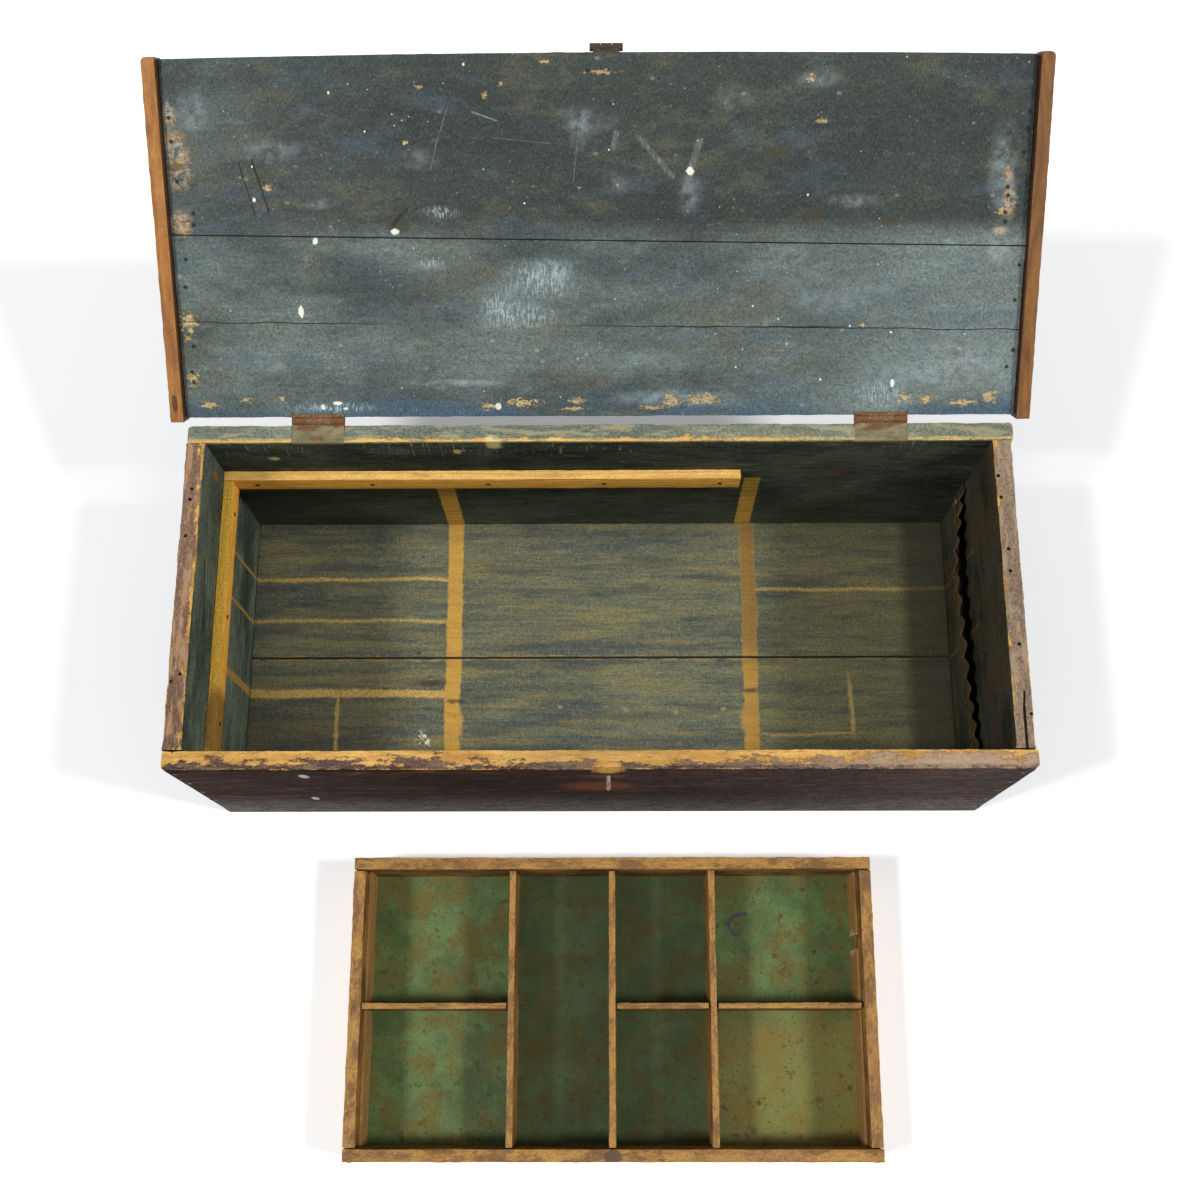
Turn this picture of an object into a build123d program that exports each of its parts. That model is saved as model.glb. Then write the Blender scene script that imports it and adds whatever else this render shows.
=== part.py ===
from build123d import *
from math import cos, radians, sin
import os

# An antique travelling salesman's chest: a long, low pine case with a hinged lid, the cleats that
# carried its inner tray, a hasp with its staple, and the lift-out tray standing in front.
# Sizes are in millimetres. The origin is the middle of the case's footprint on the floor, with
# X to the right, Y to the back and Z up. The lid stands open, as it is found.

# The case: nailed butt joints, with the front and back boards over the ends of the end boards
case_length = 914
case_depth = 387
case_height = 290
wall = 22
right_end_inset = 3
front_seam_height = 92
floor_thickness = 18
floor_seam_y = -5
worn_corner = 6
rim_wear = 1.5

# The notch in the front board's top edge, worn by the hasp
hasp_x = 9.5
notch_width = 30
notch_depth = 4
notch_height = 37

# The cleats that carried the tray
cleat_thickness = 12
cleat_height = 31
cleat_top = 206
cleat_length = 598

# The leather strip nailed up along the right end
strip_middle_width = 46
strip_height = 130
strip_scallop_pitch = 22.8
strip_scallop_rise = 9
strip_thickness = 2.4
strip_bow = 11
strip_clearance = 0.3
strip_bow_y = 95
strip_middle_gap = 7
tack_head_radius = 3.5
tack_head_thickness = 1
tack_shank_radius = 1
tack_length = 12
tack_inset = 9

# The lid: two planks edge to edge, held by a rail nailed over each end
lid_thickness = 19
lid_depth = 381
lid_front_bow = 4
lid_end_overhang = 1
lid_seam_left = 198
lid_seam_right = 182
lid_seat_gap = 0.3
lid_open_angle = 147.3
rail_thickness = 16
rail_drop = 8
rail_past_hinge_edge = 4
rail_past_front_edge = 2
rail_corner = 4

# The butt hinges: leaves let in flush, three knuckles on a pin
hinge_from_case_end = 146
hinge_length = 58
leaf_thickness = 2
leaf_gap = 0.15
knuckle_radius = 4.2
knuckle_gap = 0.3
knuckle_clearance = 0.4
hinge_pin_radius = 2.1
pin_running_clearance = 0.06
pin_back_of_case = 3.7
lid_leaf_width = 24
mortise_slack = 0.2
screw_head_radius = 3.6
screw_head_depth = 1.6
screw_shank_radius = 1.6
screw_length = 15
screw_slot_width = 0.9
screw_slot_depth = 0.7
screw_clearance = 0.1
screw_from_inner_edge = 9
screw_spacing = 20

# The hasp: a plate on top of the lid, three knuckles past its front edge, and a slotted strap
hasp_knuckle_length = 35
hasp_plate_width = 28
hasp_plate_depth = 44
hasp_plate_thickness = 2.2
hasp_pin_past_edge = 5.5
hasp_pin_radius = 1.9
strap_length = 92
strap_thickness = 2.5
slot_width = 7
slot_height = 26

# The staple that the strap drops over
staple_wire_radius = 2.2
staple_height = 243
staple_leg_spacing = 18
staple_reach = 13.8
staple_embed = 16

# Cut nails, driven flush
nail_head_radius = 2.6
nail_head_thickness = 1.2
nail_shank_radius = 1.4
nail_length = 45
nail_proud = 0.3
small_nail_length = 26

# The lift-out tray, standing on the floor in front
tray_length = cleat_length
tray_clearance = 4.5
tray_height = 75
tray_wall = 15
tray_floor_thickness = 5
tray_divider = 9
tray_divider_drop = 1
tray_outer_cell = 165
tray_cross_divider = 8
tray_cross_gap = 2
tray_x = 12.5
tray_gap = 63.5
liner_thickness = 3
liner_height = 44
liner_break_width = 16
liner_break_y = 60
tray_nail_length = 30

half_length = case_length / 2
half_depth = case_depth / 2
inner_left = -half_length + wall
inner_right = half_length - right_end_inset - wall
inner_front = -half_depth + wall
inner_back = half_depth - wall
hinge_x = half_length - hinge_from_case_end
lid_half_length = half_length + lid_end_overhang
lid_under = case_height + lid_seat_gap
lid_top = lid_under + lid_thickness
lid_front = half_depth - lid_depth
hinge_pin_y = half_depth + pin_back_of_case
hinge_pin_z = case_height + lid_seat_gap / 2
hasp_pin_y = lid_front - hasp_pin_past_edge
hasp_pin_z = lid_top + knuckle_radius

parts = {}


def block(x0, x1, y0, y1, z0, z1):
    """A plain board between two corners."""
    centre = Pos((x0 + x1) / 2, (y0 + y1) / 2, (z0 + z1) / 2)
    return centre * Box(x1 - x0, y1 - y0, z1 - z0)


def rod_x(x0, x1, y, z, radius):
    """A round bar along X."""
    return Pos((x0 + x1) / 2, y, z) * Rot(0, 90, 0) * Cylinder(radius, x1 - x0)


def headed_pin(at, into, head_radius, head_thickness, shank_radius, length, proud=0.0):
    """A nail or tack: its head's outer face stands proud of the point at, and it goes along into."""
    head = Pos(0, 0, head_thickness / 2 - proud) * Cylinder(head_radius, head_thickness)
    shank = Pos(0, 0, length / 2 - proud) * Cylinder(shank_radius, length)
    return Plane(origin=at, z_dir=into) * (head + shank)


def nail(at, into, length=nail_length):
    return headed_pin(
        at, into, nail_head_radius, nail_head_thickness, nail_shank_radius, length, nail_proud
    )


def spread(low, high, count):
    """Evenly spaced places from low to high."""
    return [low + (high - low) * i / (count - 1) for i in range(count)]


def group(solids):
    """Separate like solids in one node."""
    return Compound(children=list(solids))


def hinge_places():
    return {"left": -hinge_x, "right": hinge_x}


def screw_points(x):
    """The two screws of a hinge leaf, on the case side, seen from above."""
    y = inner_back + screw_from_inner_edge
    return [(x - screw_spacing / 2, y), (x + screw_spacing / 2, y)]


# The knuckles stand in a shallow round groove that both the back board and the lid are cut with

def hinge_groove(x):
    reach = hinge_length / 2 + mortise_slack
    return rod_x(x - reach, x + reach, hinge_pin_y, hinge_pin_z, knuckle_radius + knuckle_clearance)


def case_leaf_mortise(x):
    reach = hinge_length / 2 + mortise_slack
    return block(
        x - reach, x + reach, inner_back - 1, half_depth + 1,
        case_height - leaf_gap - leaf_thickness, case_height + 1,
    )


def lid_leaf_mortise(x):
    reach = hinge_length / 2 + mortise_slack
    inner = half_depth - lid_leaf_width - mortise_slack
    return block(
        x - reach, x + reach, inner, half_depth + 1,
        lid_under - 1, lid_under + leaf_gap + leaf_thickness,
    )


# Case boards

def front_board():
    """The front is two planks edge to edge; the upper one has the notch that the hasp wore."""
    upper = block(-half_length, half_length, -half_depth, inner_front, front_seam_height, case_height)
    lower = block(-half_length, half_length, -half_depth, inner_front, 0, front_seam_height)
    notch_face = make_face(Polyline(
        (-half_depth - 1, case_height - notch_height),
        (-half_depth, case_height - notch_height),
        (-half_depth + notch_depth, case_height),
        (-half_depth + notch_depth, case_height + 1),
        (-half_depth - 1, case_height + 1),
        close=True,
    ))
    notch = extrude(Plane.YZ.offset(hasp_x - notch_width / 2) * notch_face, notch_width)
    corners = upper.edges().filter_by(Axis.Z).group_by(Axis.Y)[0]
    upper = fillet(corners, worn_corner)
    rim = upper.faces().sort_by(Axis.Z)[-1].edges().filter_by(Axis.X)
    upper = chamfer(rim, rim_wear)
    lower = fillet(lower.edges().filter_by(Axis.Z).group_by(Axis.Y)[0], worn_corner)
    return upper - notch, lower


def back_board():
    board = block(-half_length, half_length, inner_back, half_depth, 0, case_height)
    board = fillet(board.edges().filter_by(Axis.Z).group_by(Axis.Y)[-1], worn_corner)
    board = chamfer(board.faces().sort_by(Axis.Z)[-1].edges().group_by(Axis.Y)[0], rim_wear)
    for x in hinge_places().values():
        board = board - hinge_groove(x) - case_leaf_mortise(x)
    return board


def end_board(outer_x, inner_x):
    low, high = sorted((outer_x, inner_x))
    board = block(low, high, inner_front, inner_back, 0, case_height)
    return chamfer(board.faces().sort_by(Axis.Z)[-1].edges().filter_by(Axis.Y), rim_wear)


def floor_plank(y0, y1):
    return block(inner_left, inner_right, y0, y1, 0, floor_thickness)


parts["case_front_upper"], parts["case_front_lower"] = front_board()
parts["case_back"] = back_board()
parts["case_end_left"] = end_board(-half_length, inner_left)
parts["case_end_right"] = end_board(inner_right, half_length - right_end_inset)
parts["floor_front"] = floor_plank(inner_front, floor_seam_y)
parts["floor_back"] = floor_plank(floor_seam_y, inner_back)


# Cleats: the back and front ones run from the left corner, and the left one fits between them

def long_cleat(y0, y1):
    bar = block(inner_left, inner_left + cleat_length, y0, y1, cleat_top - cleat_height, cleat_top)
    return bar


parts["cleat_back"] = long_cleat(inner_back - cleat_thickness, inner_back)
parts["cleat_front"] = long_cleat(inner_front, inner_front + cleat_thickness)
parts["cleat_left"] = block(
    inner_left, inner_left + cleat_thickness,
    inner_front + cleat_thickness, inner_back - cleat_thickness,
    cleat_top - cleat_height, cleat_top,
)


# Nails of the case

def case_nails():
    """Front and back boards nailed into the end boards, and the walls into the floor."""
    nails = []
    ends = (-half_length + wall / 2, inner_right + wall / 2)
    heights = spread(floor_thickness + wall, case_height - wall, 5)
    for face_y, into in ((-half_depth, (0, 1, 0)), (half_depth, (0, -1, 0))):
        for x in ends:
            nails += [nail((x, face_y, z), into) for z in heights]
        for x in spread(inner_left + wall * 2, inner_right - wall * 2, 6):
            nails.append(nail((x, face_y, floor_thickness / 2), into))
    for face_x, into in ((-half_length, (1, 0, 0)), (half_length - right_end_inset, (-1, 0, 0))):
        for y in spread(inner_front + wall * 2, inner_back - wall * 2, 4):
            nails.append(nail((face_x, y, floor_thickness / 2), into))
    return group(nails)


def cleat_nails():
    nails = []
    height = cleat_top - cleat_height / 2
    along = spread(inner_left + cleat_thickness * 3, inner_left + cleat_length - cleat_thickness * 2, 5)
    for x in along:
        nails.append(nail((x, inner_back - cleat_thickness, height), (0, 1, 0), small_nail_length))
        nails.append(nail((x, inner_front + cleat_thickness, height), (0, -1, 0), small_nail_length))
    for y in spread(inner_front + cleat_thickness * 4, inner_back - cleat_thickness * 4, 3):
        nails.append(nail((inner_left + cleat_thickness, y, height), (-1, 0, 0), small_nail_length))
    return group(nails)


parts["case_nails"] = case_nails()
parts["cleat_nails"] = cleat_nails()


# The leather strip: close to the wall at its two tacked ends, and bowed off it towards the back

def strip_line(off_wall):
    """The strip's face in plan, off_wall further from the end board than its back face."""
    ends_x = inner_right - strip_clearance - off_wall
    front_flat = (ends_x, inner_front + tack_inset * 2)
    back_flat = (ends_x, inner_back - tack_inset * 2)
    along = (0, 1)
    bow = Spline(
        front_flat,
        (inner_right - strip_middle_gap - off_wall, 0),
        (inner_right - strip_bow - off_wall, strip_bow_y),
        back_flat,
        tangents=(along, along),
    )
    front_end = (ends_x, inner_front + strip_clearance)
    back_end = (ends_x, inner_back - strip_clearance)
    return [Line(front_end, front_flat), bow, Line(back_flat, back_end)], front_end, back_end


def strip_outline():
    """The strip seen from the front of its face: half-round scallops along both edges."""
    y0 = inner_front + strip_clearance
    y1 = inner_back - strip_clearance
    count = round((y1 - y0) / strip_scallop_pitch)
    step = (y1 - y0) / count
    edges = []
    for side in (-1, 1):
        z = strip_height + side * strip_middle_width / 2
        for i in range(count):
            y = y0 + i * step
            peak = (y + step / 2, z + side * strip_scallop_rise)
            edges.append(ThreePointArc((y, z), peak, (y + step, z)))
    low = strip_height - strip_middle_width / 2
    high = strip_height + strip_middle_width / 2
    edges.append(Line((y0, low), (y0, high)))
    edges.append(Line((y1, low), (y1, high)))
    return make_face(edges)


def leather_strip():
    back_face, back_face_front_end, back_face_back_end = strip_line(0)
    front_face, front_face_front_end, front_face_back_end = strip_line(strip_thickness)
    plan = make_face(back_face + front_face + [
        Line(back_face_front_end, front_face_front_end),
        Line(back_face_back_end, front_face_back_end),
    ])
    tall = strip_middle_width + 4 * strip_scallop_rise
    bent = extrude(Pos(0, 0, strip_height - tall / 2) * plan, tall)
    reach = wall + strip_bow
    cut = extrude(Plane.YZ.offset(inner_right - reach) * strip_outline(), reach)
    return bent & cut


def strip_tacks():
    face_x = inner_right - strip_clearance - strip_thickness
    tacks = []
    for y in (inner_front + tack_inset, inner_back - tack_inset):
        for z in (strip_height - strip_middle_width * 0.3, strip_height + strip_middle_width * 0.3):
            tacks.append(headed_pin(
                (face_x, y, z), (1, 0, 0), tack_head_radius, tack_head_thickness,
                tack_shank_radius, tack_length, tack_head_thickness,
            ))
    return group(tacks)


parts["leather_strip"] = leather_strip()
parts["strip_tacks"] = strip_tacks()


# The staple: a bent wire driven into the front board

def staple():
    x = hasp_x
    low = staple_height - staple_leg_spacing / 2
    high = staple_height + staple_leg_spacing / 2
    bend = staple_leg_spacing / 2
    nose_y = -half_depth - staple_reach + staple_wire_radius
    inner_y = -half_depth + staple_embed
    path = Line((x, inner_y, low), (x, nose_y + bend, low))
    path += ThreePointArc(
        (x, nose_y + bend, low), (x, nose_y, staple_height), (x, nose_y + bend, high)
    )
    path += Line((x, nose_y + bend, high), (x, inner_y, high))
    section = Plane(origin=path @ 0, z_dir=path % 0) * Circle(staple_wire_radius)
    return sweep(section, path=path)


def staple_holes():
    """The two holes that the staple's legs fill."""
    holes = []
    for side in (-1, 1):
        z = staple_height + side * staple_leg_spacing / 2
        hole = Pos(hasp_x, -half_depth + staple_embed / 2, z) * Rot(90, 0, 0)
        holes.append(hole * Cylinder(staple_wire_radius, staple_embed + 0.01))
    return holes


parts["staple"] = staple()
for hole in staple_holes():
    parts["case_front_upper"] = parts["case_front_upper"] - hole


# Butt hinges, built with the lid closed; what belongs to the lid is turned open further down

def knuckle(x0, x1, pin_hole_radius):
    outside = rod_x(x0, x1, hinge_pin_y, hinge_pin_z, knuckle_radius)
    return outside - rod_x(x0, x1, hinge_pin_y, hinge_pin_z, pin_hole_radius)


def countersink(x, y, z, up):
    """The screw's hole and the cone for its head, through a leaf whose face is at z."""
    cone = Cone(
        screw_shank_radius + screw_clearance, screw_head_radius + screw_clearance, screw_head_depth
    )
    shank = Cylinder(screw_shank_radius + screw_clearance, leaf_thickness * 3)
    turn = Rot(0, 0, 0) if up else Rot(180, 0, 0)
    drop = -screw_head_depth / 2
    return Pos(x, y, z) * turn * (Pos(0, 0, drop) * cone + Pos(0, 0, -leaf_thickness) * shank)


def screw(x, y, z, up):
    """A wood screw with a flat slotted head, its face at z."""
    cone = Cone(screw_shank_radius, screw_head_radius, screw_head_depth)
    shank = Cylinder(screw_shank_radius, screw_length)
    slot = Box(screw_head_radius * 3, screw_slot_width, screw_slot_depth * 2)
    turn = Rot(0, 0, 0) if up else Rot(180, 0, 0)
    body = Pos(0, 0, -screw_head_depth / 2) * cone + Pos(0, 0, -screw_length / 2) * shank
    return Pos(x, y, z) * turn * (body - slot)


def case_leaf(x):
    """The fixed leaf with the two outer knuckles."""
    half = hinge_length / 2
    centre_half = hinge_length / 4
    top = case_height - leaf_gap
    leaf = block(x - half, x + half, inner_back, hinge_pin_y, top - leaf_thickness, top)
    leaf -= rod_x(
        x - centre_half - knuckle_gap, x + centre_half + knuckle_gap,
        hinge_pin_y, hinge_pin_z, knuckle_radius + knuckle_clearance,
    )
    for x0, x1 in ((x - half, x - centre_half - knuckle_gap), (x + centre_half + knuckle_gap, x + half)):
        leaf += rod_x(x0, x1, hinge_pin_y, hinge_pin_z, knuckle_radius)
    leaf -= rod_x(x - half, x + half, hinge_pin_y, hinge_pin_z, hinge_pin_radius)
    for sx, sy in screw_points(x):
        leaf -= countersink(sx, sy, top, True)
    return leaf


def lid_leaf(x):
    """The moving leaf with the centre knuckle, as it lies when the lid is closed."""
    half = hinge_length / 2
    centre_half = hinge_length / 4
    under = lid_under + leaf_gap
    inner = half_depth - lid_leaf_width
    leaf = block(x - half, x + half, inner, hinge_pin_y, under, under + leaf_thickness)
    for x0, x1 in ((x - half - 1, x - centre_half), (x + centre_half, x + half + 1)):
        leaf -= rod_x(x0, x1, hinge_pin_y, hinge_pin_z, knuckle_radius + knuckle_clearance)
    leaf += rod_x(x - centre_half, x + centre_half, hinge_pin_y, hinge_pin_z, knuckle_radius)
    leaf -= rod_x(
        x - half, x + half, hinge_pin_y, hinge_pin_z, hinge_pin_radius + pin_running_clearance
    )
    for sx, sy in screw_points(x):
        leaf -= countersink(sx, sy, under, False)
    return leaf


# The lid, built closed and turned open

def opened(shape):
    """Turn a closed-lid shape to where it is with the lid open."""
    axis = Axis((0, hinge_pin_y, hinge_pin_z), (1, 0, 0))
    return shape.rotate(axis, -lid_open_angle)


def lid_planks():
    """Two planks; the seam between them runs a little aslant, and the front edge bows out."""
    left = -lid_half_length
    right = lid_half_length
    seam_left = (left, half_depth - lid_seam_left)
    seam_right = (right, half_depth - lid_seam_right)
    back_plan = make_face(Polyline(seam_left, (left, half_depth), (right, half_depth), seam_right, close=True))
    edge = ThreePointArc(
        (left, lid_front + lid_front_bow), (0, lid_front), (right, lid_front + lid_front_bow)
    )
    front_plan = make_face([
        edge,
        Line(edge @ 1, seam_right),
        Line(seam_right, seam_left),
        Line(seam_left, edge @ 0),
    ])
    back = extrude(Pos(0, 0, lid_under) * back_plan, lid_thickness)
    front = extrude(Pos(0, 0, lid_under) * front_plan, lid_thickness)
    for x in hinge_places().values():
        back = back - hinge_groove(x) - lid_leaf_mortise(x)
    return back, front


def lid_rail(side):
    inner = lid_half_length * side
    outer = (lid_half_length + rail_thickness) * side
    low, high = sorted((inner, outer))
    front = lid_front + lid_front_bow - rail_past_front_edge
    rail = block(low, high, front, half_depth + rail_past_hinge_edge, lid_under - rail_drop, lid_top)
    corner = rail.edges().filter_by(Axis.Z).group_by(Axis.Y)[0].sort_by(Axis.X)
    corner = corner[-1] if side > 0 else corner[0]
    return fillet(corner, rail_corner)


def lid_nails():
    """Rails nailed into the ends of the planks."""
    nails = []
    middle = (lid_under + lid_top) / 2
    for side in (-1, 1):
        x = (lid_half_length + rail_thickness) * side
        for y in spread(lid_front + wall, half_depth - wall, 6):
            nails.append(opened(nail((x, y, middle), (-side, 0, 0))))
    return group(nails)


# The hasp, built closed: its plate on the lid, its strap hanging down in front

def hasp_knuckle_spans():
    third = hasp_knuckle_length / 3
    low = hasp_x - hasp_knuckle_length / 2
    return [(low, low + third), (low + third, low + 2 * third), (low + 2 * third, low + 3 * third)]


def hasp_plate():
    half = hasp_plate_width / 2
    left, centre, right = hasp_knuckle_spans()
    leaf = block(
        hasp_x - half, hasp_x + half, hasp_pin_y, lid_front + hasp_plate_depth,
        lid_top, lid_top + hasp_plate_thickness,
    )
    back_corners = leaf.edges().filter_by(Axis.Z).group_by(Axis.Y)[-1]
    leaf = fillet(back_corners, hasp_plate_width / 5)
    leaf -= rod_x(
        centre[0] - knuckle_gap, centre[1] + knuckle_gap, hasp_pin_y, hasp_pin_z,
        knuckle_radius + knuckle_clearance,
    )
    leaf += rod_x(left[0], left[1] - knuckle_gap, hasp_pin_y, hasp_pin_z, knuckle_radius)
    leaf += rod_x(right[0] + knuckle_gap, right[1], hasp_pin_y, hasp_pin_z, knuckle_radius)
    leaf -= rod_x(left[0], right[1], hasp_pin_y, hasp_pin_z, hasp_pin_radius)
    for x, y in hasp_screw_points():
        leaf -= countersink(x, y, lid_top + hasp_plate_thickness, True)
    return leaf


def hasp_screw_points():
    x_reach = hasp_plate_width / 4
    front_y = lid_front + hasp_plate_depth * 0.3
    back_y = lid_front + hasp_plate_depth * 0.7
    return [(hasp_x - x_reach, front_y), (hasp_x + x_reach, front_y), (hasp_x, back_y)]


def hasp_strap():
    """A flat slotted strap, in line with its pin."""
    left, centre, right = hasp_knuckle_spans()
    half = hasp_plate_width / 2
    front_y = hasp_pin_y - strap_thickness / 2
    bottom = hasp_pin_z - strap_length
    plate = block(
        hasp_x - half, hasp_x + half, front_y, front_y + strap_thickness, bottom, hasp_pin_z
    )
    plate = fillet(plate.edges().filter_by(Axis.Y).group_by(Axis.Z)[0], half * 0.7)
    for span in (left, right):
        plate -= rod_x(
            span[0] - 1 if span is left else span[0] - knuckle_gap,
            span[1] + knuckle_gap if span is left else span[1] + 1,
            hasp_pin_y, hasp_pin_z, knuckle_radius + knuckle_clearance,
        )
    plate += rod_x(centre[0], centre[1], hasp_pin_y, hasp_pin_z, knuckle_radius)
    plate -= rod_x(
        left[0], right[1], hasp_pin_y, hasp_pin_z, hasp_pin_radius + pin_running_clearance
    )
    slot = block(
        hasp_x - slot_width / 2, hasp_x + slot_width / 2, front_y - 1, front_y + strap_thickness + 1,
        staple_height - slot_height / 2, staple_height + slot_height / 2,
    )
    return plate - slot


def hinge_pin(x):
    half = hinge_length / 2
    return rod_x(x - half, x + half, hinge_pin_y, hinge_pin_z, hinge_pin_radius)


for side, x in hinge_places().items():
    parts[f"hinge_{side}_case_leaf"] = case_leaf(x)
    parts[f"hinge_{side}_lid_leaf"] = opened(lid_leaf(x))
    parts[f"hinge_{side}_pin"] = hinge_pin(x)

case_screw_list = []
lid_screw_list = []
for x in hinge_places().values():
    for sx, sy in screw_points(x):
        case_screw_list.append(screw(sx, sy, case_height - leaf_gap, True))
        lid_screw_list.append(opened(screw(sx, sy, lid_under + leaf_gap, False)))
parts["hinge_case_screws"] = group(case_screw_list)
parts["hinge_lid_screws"] = group(lid_screw_list)

lid_back_plank, lid_front_plank = lid_planks()
parts["lid_plank_back"] = opened(lid_back_plank)
parts["lid_plank_front"] = opened(lid_front_plank)
parts["lid_rail_left"] = opened(lid_rail(-1))
parts["lid_rail_right"] = opened(lid_rail(1))
parts["lid_nails"] = lid_nails()
parts["hasp_plate"] = opened(hasp_plate())
parts["hasp_screws"] = group(
    opened(screw(x, y, lid_top + hasp_plate_thickness, True)) for x, y in hasp_screw_points()
)
hasp_ends = hasp_knuckle_spans()
parts["hasp_pin"] = opened(rod_x(
    hasp_ends[0][0], hasp_ends[-1][1], hasp_pin_y, hasp_pin_z, hasp_pin_radius
))


# The strap hangs free from its pin at the open lid's edge

def hanging_strap():
    turn = radians(-lid_open_angle)
    arm_y = hasp_pin_y - hinge_pin_y
    arm_z = hasp_pin_z - hinge_pin_z
    open_y = hinge_pin_y + arm_y * cos(turn) - arm_z * sin(turn)
    open_z = hinge_pin_z + arm_y * sin(turn) + arm_z * cos(turn)
    print(f"hasp pin with the lid open at y {open_y:.3f}, z {open_z:.3f}")
    return Pos(0, open_y - hasp_pin_y, open_z - hasp_pin_z) * hasp_strap()


parts["hasp_strap"] = hanging_strap()
print(f"hinge pin at y {hinge_pin_y:.3f}, z {hinge_pin_z:.3f}")


# The tray: front and back boards over the side boards, a floor panel let in between them

tray_left = tray_x - tray_length / 2
tray_right = tray_x + tray_length / 2
tray_back_y = -half_depth - tray_gap
tray_depth = inner_back - inner_front - 2 * tray_clearance
tray_front_y = tray_back_y - tray_depth
tray_in_left = tray_left + tray_wall
tray_in_right = tray_right - tray_wall
tray_in_front = tray_front_y + tray_wall
tray_in_back = tray_back_y - tray_wall
divider_top = tray_height - tray_divider_drop
tray_middle_y = (tray_in_front + tray_in_back) / 2
divider_a = tray_in_left + tray_outer_cell
divider_c = tray_in_right - tray_outer_cell - tray_divider
divider_b = tray_x - tray_divider / 2


def tray_board(x0, x1, y0, y1):
    board = block(x0, x1, y0, y1, 0, tray_height)
    return chamfer(board.faces().sort_by(Axis.Z)[-1].edges(), rim_wear / 2)


def tray_floor():
    return block(tray_in_left, tray_in_right, tray_in_front, tray_in_back, 0, tray_floor_thickness)


def long_divider(x0):
    return block(
        x0, x0 + tray_divider, tray_in_front, tray_in_back, tray_floor_thickness, divider_top
    )


def cross_divider(x0, x1):
    half = tray_cross_divider / 2
    return block(
        x0, x1, tray_middle_y - half, tray_middle_y + half, tray_floor_thickness, divider_top
    )


def liner(wall_x, into, y0, y1):
    """A thin strip standing against a side board inside one cell."""
    low, high = sorted((wall_x, wall_x + into * liner_thickness))
    return block(low, high, y0, y1, tray_floor_thickness, tray_floor_thickness + liner_height)


def liner_left():
    half = tray_cross_divider / 2
    return group([
        liner(tray_in_left, 1, tray_in_front, tray_middle_y - half),
        liner(tray_in_left, 1, tray_middle_y + half, tray_in_back),
    ])


def liner_right():
    """The back cell's strip is broken through."""
    half = tray_cross_divider / 2
    break_y = tray_middle_y + half + liner_break_y
    return group([
        liner(tray_in_right, -1, tray_in_front, tray_middle_y - half),
        liner(tray_in_right, -1, tray_middle_y + half, break_y),
        liner(tray_in_right, -1, break_y + liner_break_width, tray_in_back),
    ])


def tray_nails():
    nails = []
    front, back = tray_front_y, tray_back_y
    corners = (tray_left + tray_wall / 2, tray_right - tray_wall / 2)
    for y, into in ((front, (0, 1, 0)), (back, (0, -1, 0))):
        for x in corners:
            for z in spread(tray_height * 0.15, tray_height * 0.85, 4):
                nails.append(nail((x, y, z), into, tray_nail_length))
        for x in (divider_a, divider_b, divider_c):
            for z in (tray_height * 0.3, tray_height * 0.72):
                nails.append(nail((x + tray_divider / 2, y, z), into, tray_nail_length))
    return group(nails)


parts["tray_front"] = tray_board(tray_left, tray_right, tray_front_y, tray_in_front)
parts["tray_back"] = tray_board(tray_left, tray_right, tray_in_back, tray_back_y)
parts["tray_side_left"] = tray_board(tray_left, tray_in_left, tray_in_front, tray_in_back)
parts["tray_side_right"] = tray_board(tray_in_right, tray_right, tray_in_front, tray_in_back)
parts["tray_floor"] = tray_floor()
parts["tray_divider_left"] = long_divider(divider_a)
parts["tray_divider_middle"] = long_divider(divider_b)
parts["tray_divider_right"] = long_divider(divider_c)
parts["tray_cross_left"] = cross_divider(tray_in_left, divider_a)
parts["tray_cross_middle"] = cross_divider(divider_b + tray_divider, divider_c)
parts["tray_cross_right"] = cross_divider(divider_c + tray_divider, tray_in_right - tray_cross_gap)
parts["tray_liner_left"] = liner_left()
parts["tray_liner_right"] = liner_right()
parts["tray_nails"] = tray_nails()

os.makedirs("parts", exist_ok=True)
for name, shape in parts.items():
    shape.label = name
    export_step(shape, f"parts/{name}.step")
print(f"{len(parts)} parts")
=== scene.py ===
import math

import bmesh
import bpy
from mathutils import Matrix, Vector


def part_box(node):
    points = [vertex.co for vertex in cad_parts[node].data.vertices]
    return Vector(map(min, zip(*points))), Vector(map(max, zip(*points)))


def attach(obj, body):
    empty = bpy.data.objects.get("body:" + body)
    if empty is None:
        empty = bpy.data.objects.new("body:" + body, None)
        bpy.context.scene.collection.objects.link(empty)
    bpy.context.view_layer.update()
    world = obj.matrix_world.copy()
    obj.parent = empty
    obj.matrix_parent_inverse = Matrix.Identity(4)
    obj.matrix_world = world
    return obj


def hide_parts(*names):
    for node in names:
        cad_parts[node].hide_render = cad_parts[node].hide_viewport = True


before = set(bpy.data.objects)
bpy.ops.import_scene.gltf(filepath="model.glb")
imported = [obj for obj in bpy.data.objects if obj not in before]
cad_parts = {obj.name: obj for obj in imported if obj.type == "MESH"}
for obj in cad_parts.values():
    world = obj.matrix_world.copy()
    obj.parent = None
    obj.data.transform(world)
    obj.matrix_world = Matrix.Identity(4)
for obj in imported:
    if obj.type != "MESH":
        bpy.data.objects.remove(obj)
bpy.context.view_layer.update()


# The camera looks down steeply over the tray into the case, a little turned and tipped. Its place
# and lens come from the corners of the case, its floor, its cleats and its lid in the photograph.

camera_place = (0.015773, -0.469391, 1.85873)
camera_pitch = math.radians(73.679)
camera_yaw = math.radians(-1.854)
camera_roll = math.radians(-1.962)
camera_lens = 45.889
camera_sensor = 36

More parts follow.
